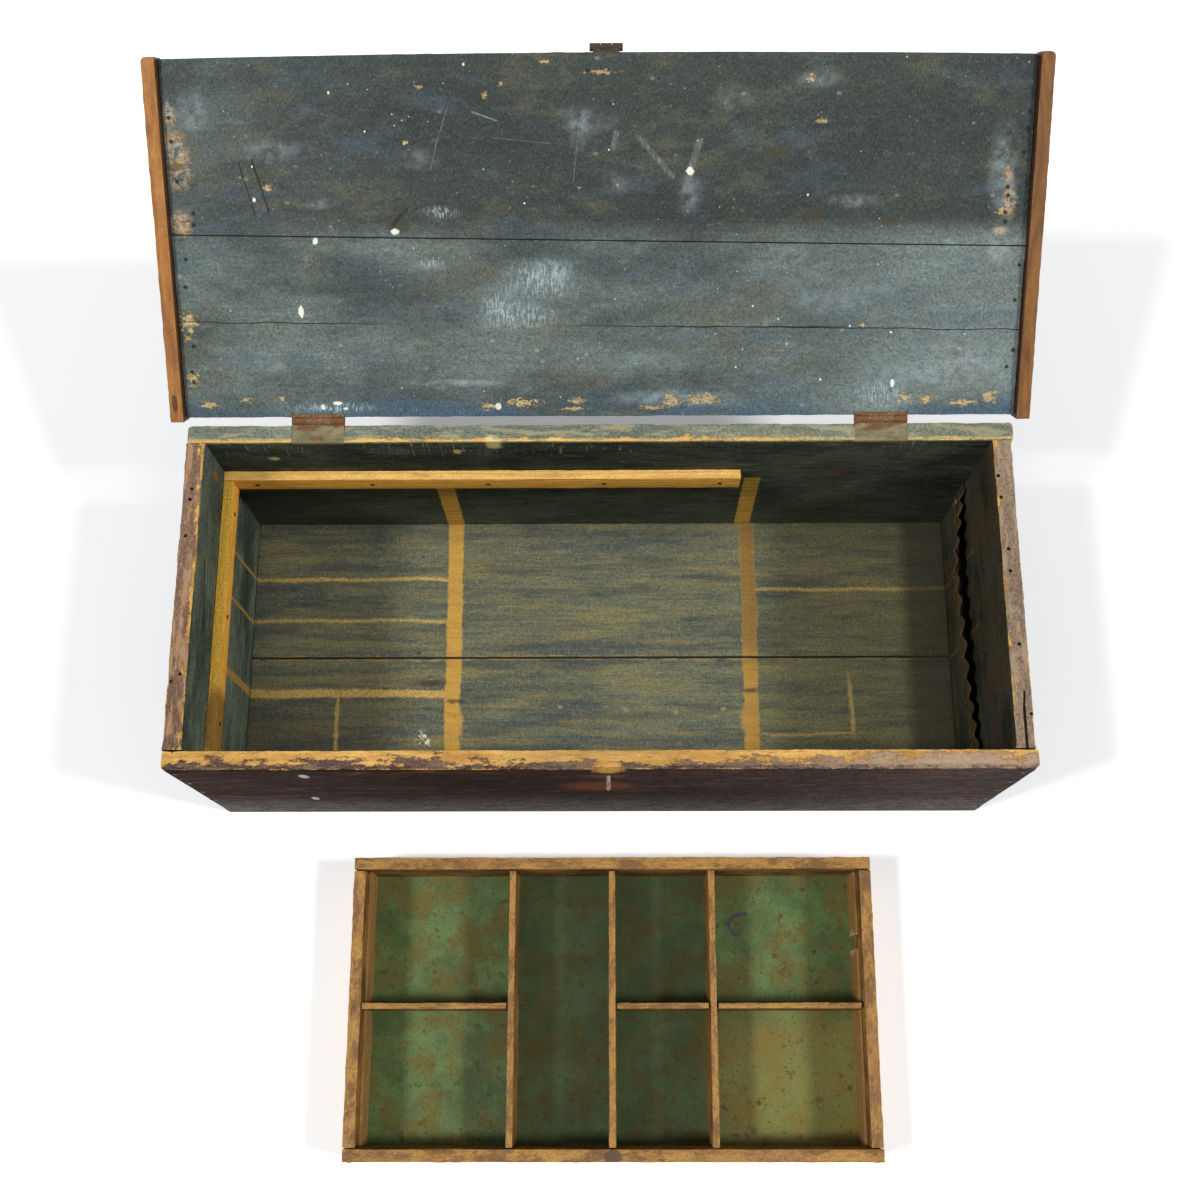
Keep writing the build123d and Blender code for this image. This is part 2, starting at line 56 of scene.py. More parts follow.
forward = Vector((
    math.sin(camera_yaw) * math.cos(camera_pitch),
    math.cos(camera_yaw) * math.cos(camera_pitch),
    -math.sin(camera_pitch),
))
level = Vector((math.cos(camera_yaw), -math.sin(camera_yaw), 0))
upright = level.cross(forward)
right = level * math.cos(camera_roll) + upright * math.sin(camera_roll)
up = upright * math.cos(camera_roll) - level * math.sin(camera_roll)
bpy.ops.object.camera_add()
camera = bpy.context.active_object
camera.name = "camera"
camera.data.lens = camera_lens
camera.data.sensor_width = camera_sensor
camera_turn = Matrix((right, up, -forward)).transposed().to_4x4()
camera.matrix_world = Matrix.Translation(camera_place) @ camera_turn
bpy.context.scene.camera = camera


# A white studio floor under two soft lamps, one high on each side, with a dim even light all
# round. Each lamp throws the wall and divider shadows that cross in the middle of the boxes.

floor_size = 14
lamp_turns = {"lamp_left": (-0.60, -0.16, 0.88), "lamp_right": (0.68, -0.10, 0.80)}
lamp_strength = 1.75
lamp_softness = math.radians(9)
room_light = 0.34
studio_white = {
    "Base Color": (0.93, 0.93, 0.94, 1), "Roughness": 0.9,
    "Emission Color": (0.93, 0.97, 1, 1), "Emission Strength": 0.22,
}

bpy.ops.mesh.primitive_plane_add(size=floor_size, location=(0, 0, 0))
studio_floor = bpy.context.active_object
studio_floor.name = "studio_floor"
floor_finish = bpy.data.materials.new("studio_white")
floor_finish.use_nodes = True
for name, value in studio_white.items():
    floor_finish.node_tree.nodes["Principled BSDF"].inputs[name].default_value = value
studio_floor.data.materials.append(floor_finish)
for lamp_name, toward in lamp_turns.items():
    bpy.ops.object.light_add(type="SUN")
    lamp = bpy.context.active_object
    lamp.name = lamp_name
    lamp.rotation_euler = Vector(toward).to_track_quat("Z", "Y").to_euler()
    lamp.data.energy = lamp_strength
    lamp.data.angle = lamp_softness
if bpy.context.scene.world is None:
    bpy.context.scene.world = bpy.data.worlds.new("studio")
bpy.context.scene.world.use_nodes = True
room = bpy.context.scene.world.node_tree.nodes["Background"]
room.inputs["Color"].default_value = (0.97, 0.985, 1, 1)
room.inputs["Strength"].default_value = room_light
bpy.context.scene.view_settings.view_transform = "Standard"


# The case: wide pine boards about 22 mm thick, planed and butted at the corners, the front and
# back nailed over the ends of the end boards, and the front made of two planks. Plum-brown paint
# outside and thin blue-green inside have worn through along every edge.

board_arris = 0.0016
board_dips = 0.0016
post_round = 0.006
sharp_edge = math.radians(40)
butted_wear = 0.25
hasp_x = 0.0095
notch_half = 0.015
notch_lean = math.atan2(4, 37)
rim_z = 0.29
floor_z = 0.018
pine_pale = (0.74, 0.445, 0.135)
pine_dark = (0.47, 0.240, 0.060)
plum = (0.056, 0.026, 0.017)
plum_dark = (0.015, 0.008, 0.006)
plum_grey = (0.095, 0.066, 0.054)
wall_green = (0.054, 0.062, 0.043)
wall_dark = (0.012, 0.016, 0.012)
ghost_tan = (0.45, 0.245, 0.050)


class Signal:
    """One output of a shader node. Arithmetic on it adds Math nodes. along is the axis along which
    the wood runs, and patterns are drawn out."""

    def __init__(self, socket, along=0):
        self.socket = socket
        self.along = along

    def __add__(self, other):
        return maths("ADD", self, other)

    def __radd__(self, other):
        return maths("ADD", other, self)

    def __sub__(self, other):
        return maths("SUBTRACT", self, other)

    def __rsub__(self, other):
        return maths("SUBTRACT", other, self)

    def __mul__(self, other):
        return maths("MULTIPLY", self, other)

    def __rmul__(self, other):
        return maths("MULTIPLY", other, self)

    def __truediv__(self, other):
        return maths("DIVIDE", self, other)


def add_node(kind, sockets, out=0, tree=None, along=0, **settings):
    """One shader node. A socket takes a value or a signal, and the tree and axis are the signals'."""
    for value in sockets.values():
        if isinstance(value, Signal):
            tree, along = value.socket.id_data, value.along
    made = tree.nodes.new("ShaderNode" + kind)
    for key, value in settings.items():
        setattr(made, key, value)
    for key, value in sockets.items():
        socket = made.inputs[key]
        if isinstance(value, Signal):
            tree.links.new(value.socket, socket)
        elif socket.type == "RGBA" and len(value) == 3:
            socket.default_value = (*value, 1)
        else:
            socket.default_value = value
    return Signal(made.outputs[out], along)


def maths(operation, a, b=0.0):
    return add_node("Math", {0: a, 1: b}, operation=operation)


def fade(value, start, end, low=0.0, high=1.0):
    """low at start and high at end, smooth between, whichever of the two ends is larger."""
    reach = {"Value": value, "From Min": start, "From Max": end, "To Min": low, "To Max": high}
    return add_node("MapRange", reach, interpolation_type="SMOOTHSTEP")


def between(value, low, high, soft=0.001):
    """1 where value lies from low to high."""
    return fade(value, low - soft, low + soft) * fade(value, high + soft, high - soft)


def either(*masks):
    """The larger of several masks."""
    whole = masks[0]
    for mask in masks[1:]:
        whole = maths("MAXIMUM", whole, mask)
    return whole


def tint(amount, under, over, mode="MIX"):
    """One colour laid over another by amount."""
    return add_node("Mix", {0: amount, 6: under, 7: over}, out=2, data_type="RGBA", blend_type=mode)


def apart(vector):
    """The x, y and z of a vector."""
    tree = vector.socket.id_data
    split = tree.nodes.new("ShaderNodeSeparateXYZ")
    tree.links.new(vector.socket, split.inputs[0])
    return [Signal(output, vector.along) for output in split.outputs]


def vector_maths(operation, a, b, out=0):
    return add_node("VectorMath", {0: a, 1: b}, out=out, operation=operation)


def drawn(spot, size, stretch):
    """Coordinates in which a pattern is about size metres across. It is drawn out by stretch, a
    number for the way that the wood runs or one for each axis."""
    if not isinstance(stretch, tuple):
        stretch = [stretch if axis == spot.along else 1 for axis in range(3)]
    return add_node("Mapping", {"Vector": spot, "Scale": [1 / (size * s) for s in stretch]})


def mottle(spot, size, stretch=1, detail=4.0, rough=0.6):
    """Cloudy noise in patches about size metres across."""
    noise = {"Vector": drawn(spot, size, stretch), "Scale": 1.0, "Detail": detail, "Roughness": rough}
    return add_node("TexNoise", noise)


def cloudy(spot, size, start, end, stretch=1, detail=4.0, rough=0.6):
    """Cloudy patches, 0 where the noise is at start and 1 where it is at end."""
    return fade(mottle(spot, size, stretch, detail, rough), start, end)


def flecks(spot, size, radius, stretch=1):
    """Small round specks scattered about size metres apart."""
    away = add_node("TexVoronoi", {"Vector": drawn(spot, size, stretch), "Scale": 1.0}, out="Distance")
    return fade(away, radius * 1.3, radius * 0.7)


def gritty(spot, colour, size=0.0026, depth=0.50):
    """Fine light and dark grit over a colour, as on any old rough surface."""
    grit = mottle(spot, size, rough=0.85)
    share = fade(grit, 0.30, 0.70, 1 - depth, 1 + depth)
    return add_node("VectorMath", {0: colour, "Scale": share}, operation="SCALE")


def blot(spot, at, size, ragged=0.0, soft=0.12):
    """1 inside an ellipse round a place, with an edge that a ragged mask pushes in and out."""
    scaled = vector_maths("DIVIDE", vector_maths("SUBTRACT", spot, at), size)
    reach = add_node("VectorMath", {0: scaled}, out="Value", operation="LENGTH")
    return fade(reach + ragged, 1 + soft, 1 - soft)


def stroke(spot, start, end, width):
    """1 along a straight scratch from start to end."""
    run = Vector(end) - Vector(start)
    offset = vector_maths("SUBTRACT", spot, start)
    part = vector_maths("DOT_PRODUCT", offset, run / run.length_squared, out="Value")
    part = add_node("Clamp", {"Value": part})
    foot = add_node("VectorMath", {0: tuple(run), "Scale": part}, operation="SCALE")
    away = vector_maths("DISTANCE", offset, foot, out="Value")
    return fade(away, width * 0.8, width * 0.3)


def edge_distance(spot, low, high):
    """How far a point on a box is from the nearest of the box's edges."""
    past_low = vector_maths("SUBTRACT", spot, low)
    past_high = vector_maths("SUBTRACT", high, spot)
    x, y, z = apart(vector_maths("MINIMUM", past_low, past_high))
    return maths("MAXIMUM", maths("MINIMUM", x, y), maths("MINIMUM", maths("MAXIMUM", x, y), z))


def pine_grain(spot, spacing=1.0):
    """Growth rings as contour lines of a long soft noise, with fine fibres between them."""
    field = mottle(spot, 0.045 * spacing, 14, detail=1.5, rough=0.4)
    rings = fade(maths("SINE", field * 75.0), -0.3, 1.0)
    fibres = mottle(spot, 0.0012, 18, rough=0.75)
    rubs = mottle(spot, 0.009, 3, detail=7.0, rough=0.75)
    return rings * 0.4 + fibres * 0.55 + fade(rubs, 0.35, 0.70, -0.2, 0.35)


def start_finish(name, along=0):
    """A new material: its shader, the object's own coordinates and its normal."""
    finish = bpy.data.materials.new(name)
    finish.use_nodes = True
    tree = finish.node_tree
    shader = tree.nodes["Principled BSDF"]
    shader.inputs["Specular IOR Level"].default_value = 0.35
    spot = add_node("TexCoord", {}, out="Object", tree=tree, along=along)
    facing = add_node("TexCoord", {}, out="Normal", tree=tree)
    return finish, shader, spot, facing


def end_finish(shader, colour, rough, height, depth):
    """The last links: colour, roughness, and a bump of so many metres."""
    bump = add_node("Bump", {"Height": height, "Distance": depth, "Strength": 1.0})
    for name, signal in (("Base Color", colour), ("Roughness", rough), ("Normal", bump)):
        shader.id_data.links.new(signal.socket, shader.inputs[name])


def select_along(board, axis, keep=None):
    """In edit mode, select the edges that run along one axis."""
    bpy.ops.mesh.select_all(action="DESELECT")
    cage = bmesh.from_edit_mesh(board.data)
    for edge in cage.edges:
        run = edge.verts[1].co - edge.verts[0].co
        kept = keep is None or keep((edge.verts[0].co + edge.verts[1].co) / 2)
        edge.select_set(abs(run[axis]) > 0.99 * run.length and kept)
    bmesh.update_edit_mesh(board.data)


def cut_away(board, low, high, turn=0.0):
    """A recess, cut with a block that is then thrown away."""
    bpy.ops.object.select_all(action="DESELECT")
    middle = [(a + b) / 2 for a, b in zip(low, high)]
    bpy.ops.mesh.primitive_cube_add(
        size=1, location=middle, rotation=(turn, 0, 0), scale=[b - a for a, b in zip(low, high)]
    )
    block = bpy.context.active_object
    bpy.context.view_layer.objects.active = board
    recess = board.modifiers.new("recess", "BOOLEAN")
    recess.object = block
    recess.operation = "DIFFERENCE"
    recess.solver = "EXACT"
    bpy.ops.object.modifier_apply(modifier="recess")
    bpy.data.objects.remove(block)


def saw_board(
    name, low, high, cuts, arris=board_arris, dips=board_dips, posts=None, snug=None, reshape=None,
    recesses=(),
):
    """A board between two corners, cut up along its length so that its edges can wear unevenly.
    posts picks the upright corners that are rounded off, snug the points that butt against the
    next board and stay unworn, reshape moves each point, and recesses are cut out of it."""
    bpy.ops.object.select_all(action="DESELECT")
    middle = [(a + b) / 2 for a, b in zip(low, high)]
    bpy.ops.mesh.primitive_cube_add(size=1, location=middle, scale=[b - a for a, b in zip(low, high)])
    board = bpy.context.active_object
    board.name = name
    bpy.ops.object.transform_apply(location=True, rotation=True, scale=True)
    bpy.ops.object.mode_set(mode="EDIT")
    bpy.ops.mesh.select_mode(type="EDGE")
    if posts:
        select_along(board, 2, posts)
        bpy.ops.mesh.bevel(offset=post_round, segments=5)
    for axis, rounds in enumerate(cuts):
        for count in rounds:
            select_along(board, axis)
            bpy.ops.mesh.subdivide(number_cuts=count)
    cage = bmesh.from_edit_mesh(board.data)
    sharpness = cage.edges.layers.float.new("bevel_weight_edge")
    for edge in cage.edges:
        if edge.calc_face_angle(0) > sharp_edge:
            at = (edge.verts[0].co + edge.verts[1].co) / 2
            edge[sharpness] = butted_wear if snug and snug(at) else 1.0
    bmesh.update_edit_mesh(board.data)
    bpy.ops.object.mode_set(mode="OBJECT")
    rounding = board.modifiers.new("arris", "BEVEL")
    rounding.width = arris
    rounding.segments = 3
    rounding.limit_method = "WEIGHT"
    bpy.ops.object.modifier_apply(modifier="arris")
    rubbed = board.vertex_groups.new(name="rubbed")
    for point in board.data.vertices:
        gaps = sorted(min(c - a, b - c) for a, c, b in zip(low, point.co, high))
        wear_share = 1.0 if gaps[1] < 2 * arris else 0.25
        rubbed.add([point.index], 0.0 if snug and snug(point.co) else wear_share, "REPLACE")
    if reshape:
        for point in board.data.vertices:
            point.co = reshape(point.co)
    for recess in recesses:
        cut_away(board, *recess)
    for wear_name, size in (("nicks", 0.010), ("hollows", 0.045)):
        pattern = bpy.data.textures.new(name + "_" + wear_name, "CLOUDS")
        pattern.noise_scale = size
        pattern.noise_depth = 2
        pattern.contrast = 1.6
        wear = board.modifiers.new(wear_name, "DISPLACE")
        wear.texture = pattern
        wear.texture_coords = "LOCAL"
        wear.mid_level = 1
        wear.strength = dips / 2
        wear.vertex_group = "rubbed"
        bpy.ops.object.modifier_apply(modifier=wear_name)
    bpy.ops.object.shade_smooth_by_angle(angle=math.radians(35))
    return board


def paint_coat(spot, dark, light, scuffs, streak=0.5):
    """Old brushed paint: clouds of thick and thin, streaks along the board and pale scuffs."""
    clouds = cloudy(spot, 0.07, 0.34, 0.66, 2.2, detail=9.0, rough=0.7)
    streaks = cloudy(spot, 0.0045, 0.4, 0.62, 9, detail=6.0, rough=0.8)
    colour = tint(clouds, dark, light)
    colour = tint(streaks * streak, colour, dark)
    rubs = cloudy(spot, 0.018, 0.55, 0.72, 1.8, detail=10.0, rough=0.8)
    return gritty(spot, tint(rubs * 0.6, colour, scuffs))


def case_board_finish(name, low, high, along, outward, rim, rim_patch, rim_cover, rim_lean, painted_light_gain=1.0):
    """The paint of one case board: plum outside, blue-green inside, and a worn rim of its own.
    low and high are the corners between which its free edges lie. rim_cover is how much of the
    rim's paint is left, and rim_lean how much more of it lies outside. The last argument scales
    the inside paint for each wall, as painted light for how much lamp light that wall gets."""
    finish, shader, spot, facing = start_finish(name, along)
    grain = pine_grain(spot)
    wood = tint(grain, pine_pale, pine_dark)
    patina = mottle(spot, 0.07, 2)
    wood = tint(fade(patina, 0.5, 0.75) * 0.45, wood, (0.25, 0.14, 0.06))
    outside = paint_coat(spot, plum_dark, plum, plum_grey)
    # The inside paint's brightness is scaled for each wall: painted light.
    inside = paint_coat(
        spot, [c * painted_light_gain for c in wall_dark], [c * painted_light_gain for c in wall_green], (0.1, 0.115, 0.075)
    )
    crumbs = flecks(spot, 0.011, 0.055, 1.8)
    inside = tint(crumbs * 0.4, inside, (0.36, 0.36, 0.27))
    axis = 0 if outward[0] else 1
    outer = vector_maths("DOT_PRODUCT", facing, outward, out="Value")
    paint = tint(fade(outer, -0.8, -0.5), inside, outside)
    shader.inputs["Specular IOR Level"].default_value = 0.01
    on_top = fade(apart(facing)[2], 0.45, 0.75)
    across = apart(spot)[axis] - (low[axis] + high[axis]) / 2
    across = across * (outward[axis] / (high[axis] - low[axis]))
    flaking = mottle(spot, 0.016, 2.4, detail=10.0, rough=0.78)
    cover = flaking + across * rim_lean
    if along == 0:
        cover = cover + fade(apart(spot)[0], 0.1, 0.42, 0.0, 0.1)
    covered = fade(cover, 1 - rim_cover, 1 - rim_cover + 0.03)
    rim_coat = paint_coat(spot, [c * 0.6 for c in rim], rim, [min(1, c * 1.5) for c in rim])
    patches = cloudy(spot, 0.009, 0.48, 0.58, 5, detail=7.0, rough=0.7)
    rim_coat = tint(patches * 0.7, rim_coat, rim_patch)
    if outward[1] < 0:
        pale_end = fade(apart(spot)[0], 0.06, 0.34, 0.0, 0.7)
        rim_coat = tint(pale_end, rim_coat, gritty(spot, [c * 2.1 for c in rim_patch], 0.004, 0.2))
    paint = tint(on_top, paint, rim_coat)
    edge = edge_distance(spot, low, high)
    ragged = mottle(spot, 0.012, 2.5, detail=8.0, rough=0.75)
    worn = fade(edge / 0.0035 + ragged * 4.0, 2.48, 2.25)
    chips = cloudy(spot, 0.014, 0.735, 0.75, 1.5, detail=9.0, rough=0.8)
    bare_rim = on_top * (1.0 - covered)
    soiled = cloudy(spot, 0.0042, 0.5, 0.62, 7, detail=7.0, rough=0.75)
    wood = tint(soiled * 0.5, wood, (0.29, 0.145, 0.04))
    bare = either(worn, chips, bare_rim)
    colour = tint(bare, paint, gritty(spot, wood, 0.0018, 0.22))
    rough = 0.52 + patina * 0.3
    height = grain * -0.6 - bare * 0.6
    return finish, shader, spot, colour, rough, height, ragged


def specks_and_dents(spot, colour):
    """Pale paint specks and dark pinholes, as all over an old chest."""
    pale = flecks(spot, 0.021, 0.028)
    colour = tint(pale * 0.55, colour, (0.42, 0.42, 0.36))
    dark = flecks(spot, 0.034, 0.03)
    return tint(dark * 0.8, colour, (0.012, 0.01, 0.008))


long_cuts = ((13, 13), (1,), (19,))
end_cuts = ((1,), (11, 7), (24,))
upper_low, upper_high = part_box("case_front_upper")
notch = (
    (hasp_x - notch_half, -0.2115, 0.2535), (hasp_x + notch_half, -0.1915, 0.3115), -notch_lean
)
front_upper = saw_board(
    "front_board_upper", upper_low, upper_high, long_cuts, dips=0.0022, recesses=[notch],
    posts=lambda p: p.y < -0.18, snug=lambda p: p.z < upper_low.z + 0.002,
)
lower_low, lower_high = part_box("case_front_lower")
front_lower = saw_board(
    "front_board_lower", lower_low, lower_high, ((13, 13), (1,), (9,)),
    posts=lambda p: p.y < -0.18, snug=lambda p: p.z > lower_high.z - 0.002 or p.z < 0.02,
)
for board, node in ((front_upper, "case_front_upper"), (front_lower, "case_front_lower")):
    finish, shader, spot, colour, rough, height, ragged = case_board_finish(
        node + "_paint", lower_low, upper_high, 0, (0, -1, 0), (0.15, 0.095, 0.075), (0.24, 0.165, 0.11),
        0.49, 0.25,
    )
    x, y, z = apart(spot)
    outer_face = fade(y, -0.186, -0.19)
    # Painted reflection: the lower outer face is tinted pale bluish grey for the white floor reflected in
    # it.
    wavy = z + mottle(spot, 0.1, 2, detail=6.0) * 0.08
    floor_reflection = fade(wavy, 0.185, 0.06) * outer_face
    colour = tint(floor_reflection * 0.8, colour, gritty(spot, (0.135, 0.138, 0.132), 0.004))
    rubbed = cloudy(spot, 0.022, 0.5, 0.66, 4, detail=10.0, rough=0.8)
    colour = tint(rubbed * outer_face * 0.7, colour, (0.15, 0.072, 0.046))
    greyed = fade(x + wavy, 0.1, 0.55) * outer_face
    colour = tint(greyed * 0.35, colour, gritty(spot, (0.125, 0.09, 0.088), 0.004))
    knotted = mottle(spot, 0.02, 2.6, detail=7.0, rough=0.75) - 0.5
    crackle = between(knotted, -0.016, 0.016, 0.012) * outer_face
    colour = tint(crackle * 0.8, colour, (0.009, 0.006, 0.005))
    rags = ragged - 0.5
    red_rub = blot(spot, (hasp_x - 0.012, -0.193, 0.186), (0.036, 0.02, 0.027), rags, 0.45)
    colour = tint(red_rub * 0.75, colour, gritty(spot, (0.2, 0.058, 0.024)))
    notch_bare = blot(spot, (hasp_x, -0.192, 0.283), (0.016, 0.01, 0.016), rags, 0.3)
    colour = tint(notch_bare * 0.8, colour, gritty(spot, (0.66, 0.36, 0.085), depth=0.3))
    notch_foot = blot(spot, (hasp_x, -0.193, 0.248), (0.017, 0.006, 0.01), rags, 0.4)
    colour = tint(notch_foot * 0.6, colour, (0.2, 0.085, 0.025))
    dabs = either(
        blot(spot, (-0.314, -0.193, 0.252), (0.005, 0.01, 0.011), rags, 0.3),
        blot(spot, (-0.329, -0.193, 0.105), (0.004, 0.01, 0.009), rags, 0.3),
    )
    colour = tint(dabs * 0.8, colour, (0.6, 0.6, 0.53))
    colour = specks_and_dents(spot, colour)
    end_finish(shader, colour, rough, height, 0.0006)
    board.data.materials.append(finish)
    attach(board, "case")
    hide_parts(node)

back_low, back_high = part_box("case_back")
hinge_x = 0.311
leaf_half = 0.0292
mortise_low = (0.1705, 0.28785)
mortise_high = (0.1945, 0.292)
back_board = saw_board(
    "back_board", back_low, back_high, long_cuts, dips=0.0022, posts=lambda p: p.y > 0.18,
    snug=lambda p: p.z < 0.02,
    recesses=[
        ((x - leaf_half, *mortise_low), (x + leaf_half, *mortise_high)) for x in (-hinge_x, hinge_x)
    ],
)
# The back wall's inside paint is scaled up 2.3 times, as painted light for the little lamp light it gets.
finish, shader, spot, colour, rough, height, ragged = case_board_finish(
    "case_back_paint", back_low, back_high, 0, (0, 1, 0), (0.22, 0.25, 0.2), (0.38, 0.35, 0.2), 0.68,
    0.55, 2.3,
)
x, y, z = apart(spot)
olive_end = fade(x, -0.05, 0.3) * fade(z, 0.2885, 0.2895)
colour = tint(olive_end * 0.35, colour, gritty(spot, (0.22, 0.22, 0.12)))
inner_side = fade(y, 0.174, 0.173)
cream_edge = fade(y + ragged * 0.008, 0.181, 0.1795) * fade(z, 0.284, 0.287)
colour = tint(cream_edge * 0.42, colour, gritty(spot, (0.78, 0.58, 0.22), depth=0.3))
low_haze = fade(z, 0.19, 0.04) * inner_side
colour = tint(low_haze * 0.35, colour, gritty(spot, (0.115, 0.12, 0.082)))
ghosts = either(*(
    between(x + ragged * 0.004, a, b, 0.0012) * fade(z, 0.178, 0.175)
    for a, b in ((-0.193, -0.172), (0.171, 0.19))
))
ghosts = ghosts * inner_side
faint = (0.55 + ragged * 0.6) * ghosts
# The ghost lines on the back wall are painted far brighter than bare wood elsewhere, as painted light for
# the little lamp light this wall gets.
colour = tint(faint, colour, tint(pine_grain(spot, 0.5), (0.9, 0.53, 0.095), (0.56, 0.3, 0.065)))
upright_scuffs = mottle(spot, 0.0035, (1, 1, 9), detail=3.0)
scuff_place = cloudy(spot, 0.1, 0.5, 0.6, detail=2.0) * fade(z, 0.235, 0.262)
scuffed = fade(upright_scuffs, 0.58, 0.66) * (scuff_place * inner_side)
colour = tint(scuffed * 0.8, colour, (0.3, 0.31, 0.22))
long_scuffs = cloudy(spot, 0.006, 0.57, 0.65, (6, 1, 1.2), detail=7.0, rough=0.8)
long_scuffs = long_scuffs * inner_side * fade(z, 0.285, 0.28)
colour = tint(long_scuffs * 0.55, colour, (0.2, 0.22, 0.16))
dabs = either(*(
    blot(spot, (at_x, 0.1715, at_z), (w, 0.01, h), (ragged - 0.5) * 3.0, 0.3)
    for at_x, at_z, w, h in (
        (-0.368, 0.243, 0.007, 0.006), (-0.159, 0.262, 0.005, 0.006), (-0.118, 0.282, 0.009, 0.014)
    )
))
colour = tint(dabs * 0.9, colour, (0.72, 0.6, 0.26))
red_dab = blot(spot, (0.276, 0.1715, 0.196), (0.012, 0.01, 0.004), ragged - 0.5, 0.4)
colour = tint(red_dab * 0.7, colour, (0.3, 0.045, 0.032))
colour = specks_and_dents(spot, colour)
end_finish(shader, colour, rough, height, 0.0006)
back_board.data.materials.append(finish)
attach(back_board, "case")
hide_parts("case_back")

# Each end wall's inside paint is scaled by its last number: painted light, far brighter on the left wall
# than on the right.
for side, outward, rim, rim_patch, cover, painted_light_gain in (
    ("left", (-1, 0, 0), (0.25, 0.150, 0.105), (0.44, 0.27, 0.14), 0.62, 3.5),
    ("right", (1, 0, 0), (0.29, 0.200, 0.140), (0.38, 0.29, 0.18), 0.66, 1.2),
):
    node = "case_end_" + side
    low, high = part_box(node)
    end_board = saw_board(
        "end_board_" + side, low, high, end_cuts, dips=0.0022,
        snug=lambda p: abs(p.y) > 0.1695 or p.z < 0.02,
    )
    beyond = Vector((0, 0.1, 0))
    finish, shader, spot, colour, rough, height, ragged = case_board_finish(
        node + "_paint", low - beyond, high + beyond, 1, outward, rim, rim_patch, cover, 0.3, painted_light_gain
    )
    x, y, z = apart(spot)
    inner_side = between(x, -0.4365, 0.4335, 0.0003)
    drifted = y + (ragged - 0.5) * 0.006
    lines = (0.098, 0.0415, -0.047) if side == "left" else (0.084, -0.006)
    thick = (0.0022, 0.0022, 0.005) if side == "left" else (0.0016, 0.0016)
    ghosts = either(*(between(drifted, at - half, at + half, 0.001) for at, half in zip(lines, thick)))
    ghosts = ghosts * (inner_side * fade(z, 0.178, 0.174))
    # On the right wall the ghost lines are painted faint, as painted shade.
    colour = tint(ghosts * (0.75 if side == "left" else 0.2), colour, ghost_tan)
    if side == "left":
        knot_patch = blot(spot, (-0.435, 0.153, 0.238), (0.02, 0.006, 0.017), ragged - 0.2, 0.4)
        colour = tint(knot_patch, colour, gritty(spot, (0.3, 0.14, 0.04)))
        crack = stroke(spot, (-0.435, 0.047, 0.256), (-0.435, -0.03, 0.239), 0.0022)
        holes = [(-0.446, 0.118), (-0.447, 0.106), (-0.449, 0.064), (-0.443, -0.09), (-0.452, -0.098)]
    else:
        brown_wall = cloudy(spot, 0.05, 0.35, 0.62, detail=7.0) * inner_side
        colour = tint(brown_wall * 0.55, colour, gritty(spot, (0.08, 0.05, 0.024)))
        crack = either(
            stroke(spot, (0.4455, -0.112, rim_z), (0.444, -0.128, rim_z), 0.002),
            stroke(spot, (0.444, -0.128, rim_z), (0.444, -0.172, rim_z), 0.0026),
        )
        holes = [
            (0.436, 0.13), (0.437, 0.105), (0.441, 0.046), (0.441, 0.021), (0.444, -0.06), (0.451, -0.135)
        ]
    rags = ragged - 0.5
    holes = either(*(blot(spot, (*at, rim_z), (0.0018, 0.0016, 0.01), rags, 0.3) for at in holes))
    colour = tint(either(crack, holes), colour, (0.012, 0.009, 0.007))
    height = height - either(crack, holes) * 3.0
    colour = specks_and_dents(spot, colour)
    end_finish(shader, colour, rough, height, 0.0006)
    end_board.data.materials.append(finish)
    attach(end_board, "case")
    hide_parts(node)


# The case's floor: two wide planks let in between the walls, painted with the same thin
# blue-green, worn to olive in the middle. Tan lines of bare wood show where a rack once stood.

floor_green = (0.165, 0.165, 0.085)
floor_blue = (0.055, 0.072, 0.062)
floor_pale = (0.27, 0.265, 0.17)
seam_y = -0.005

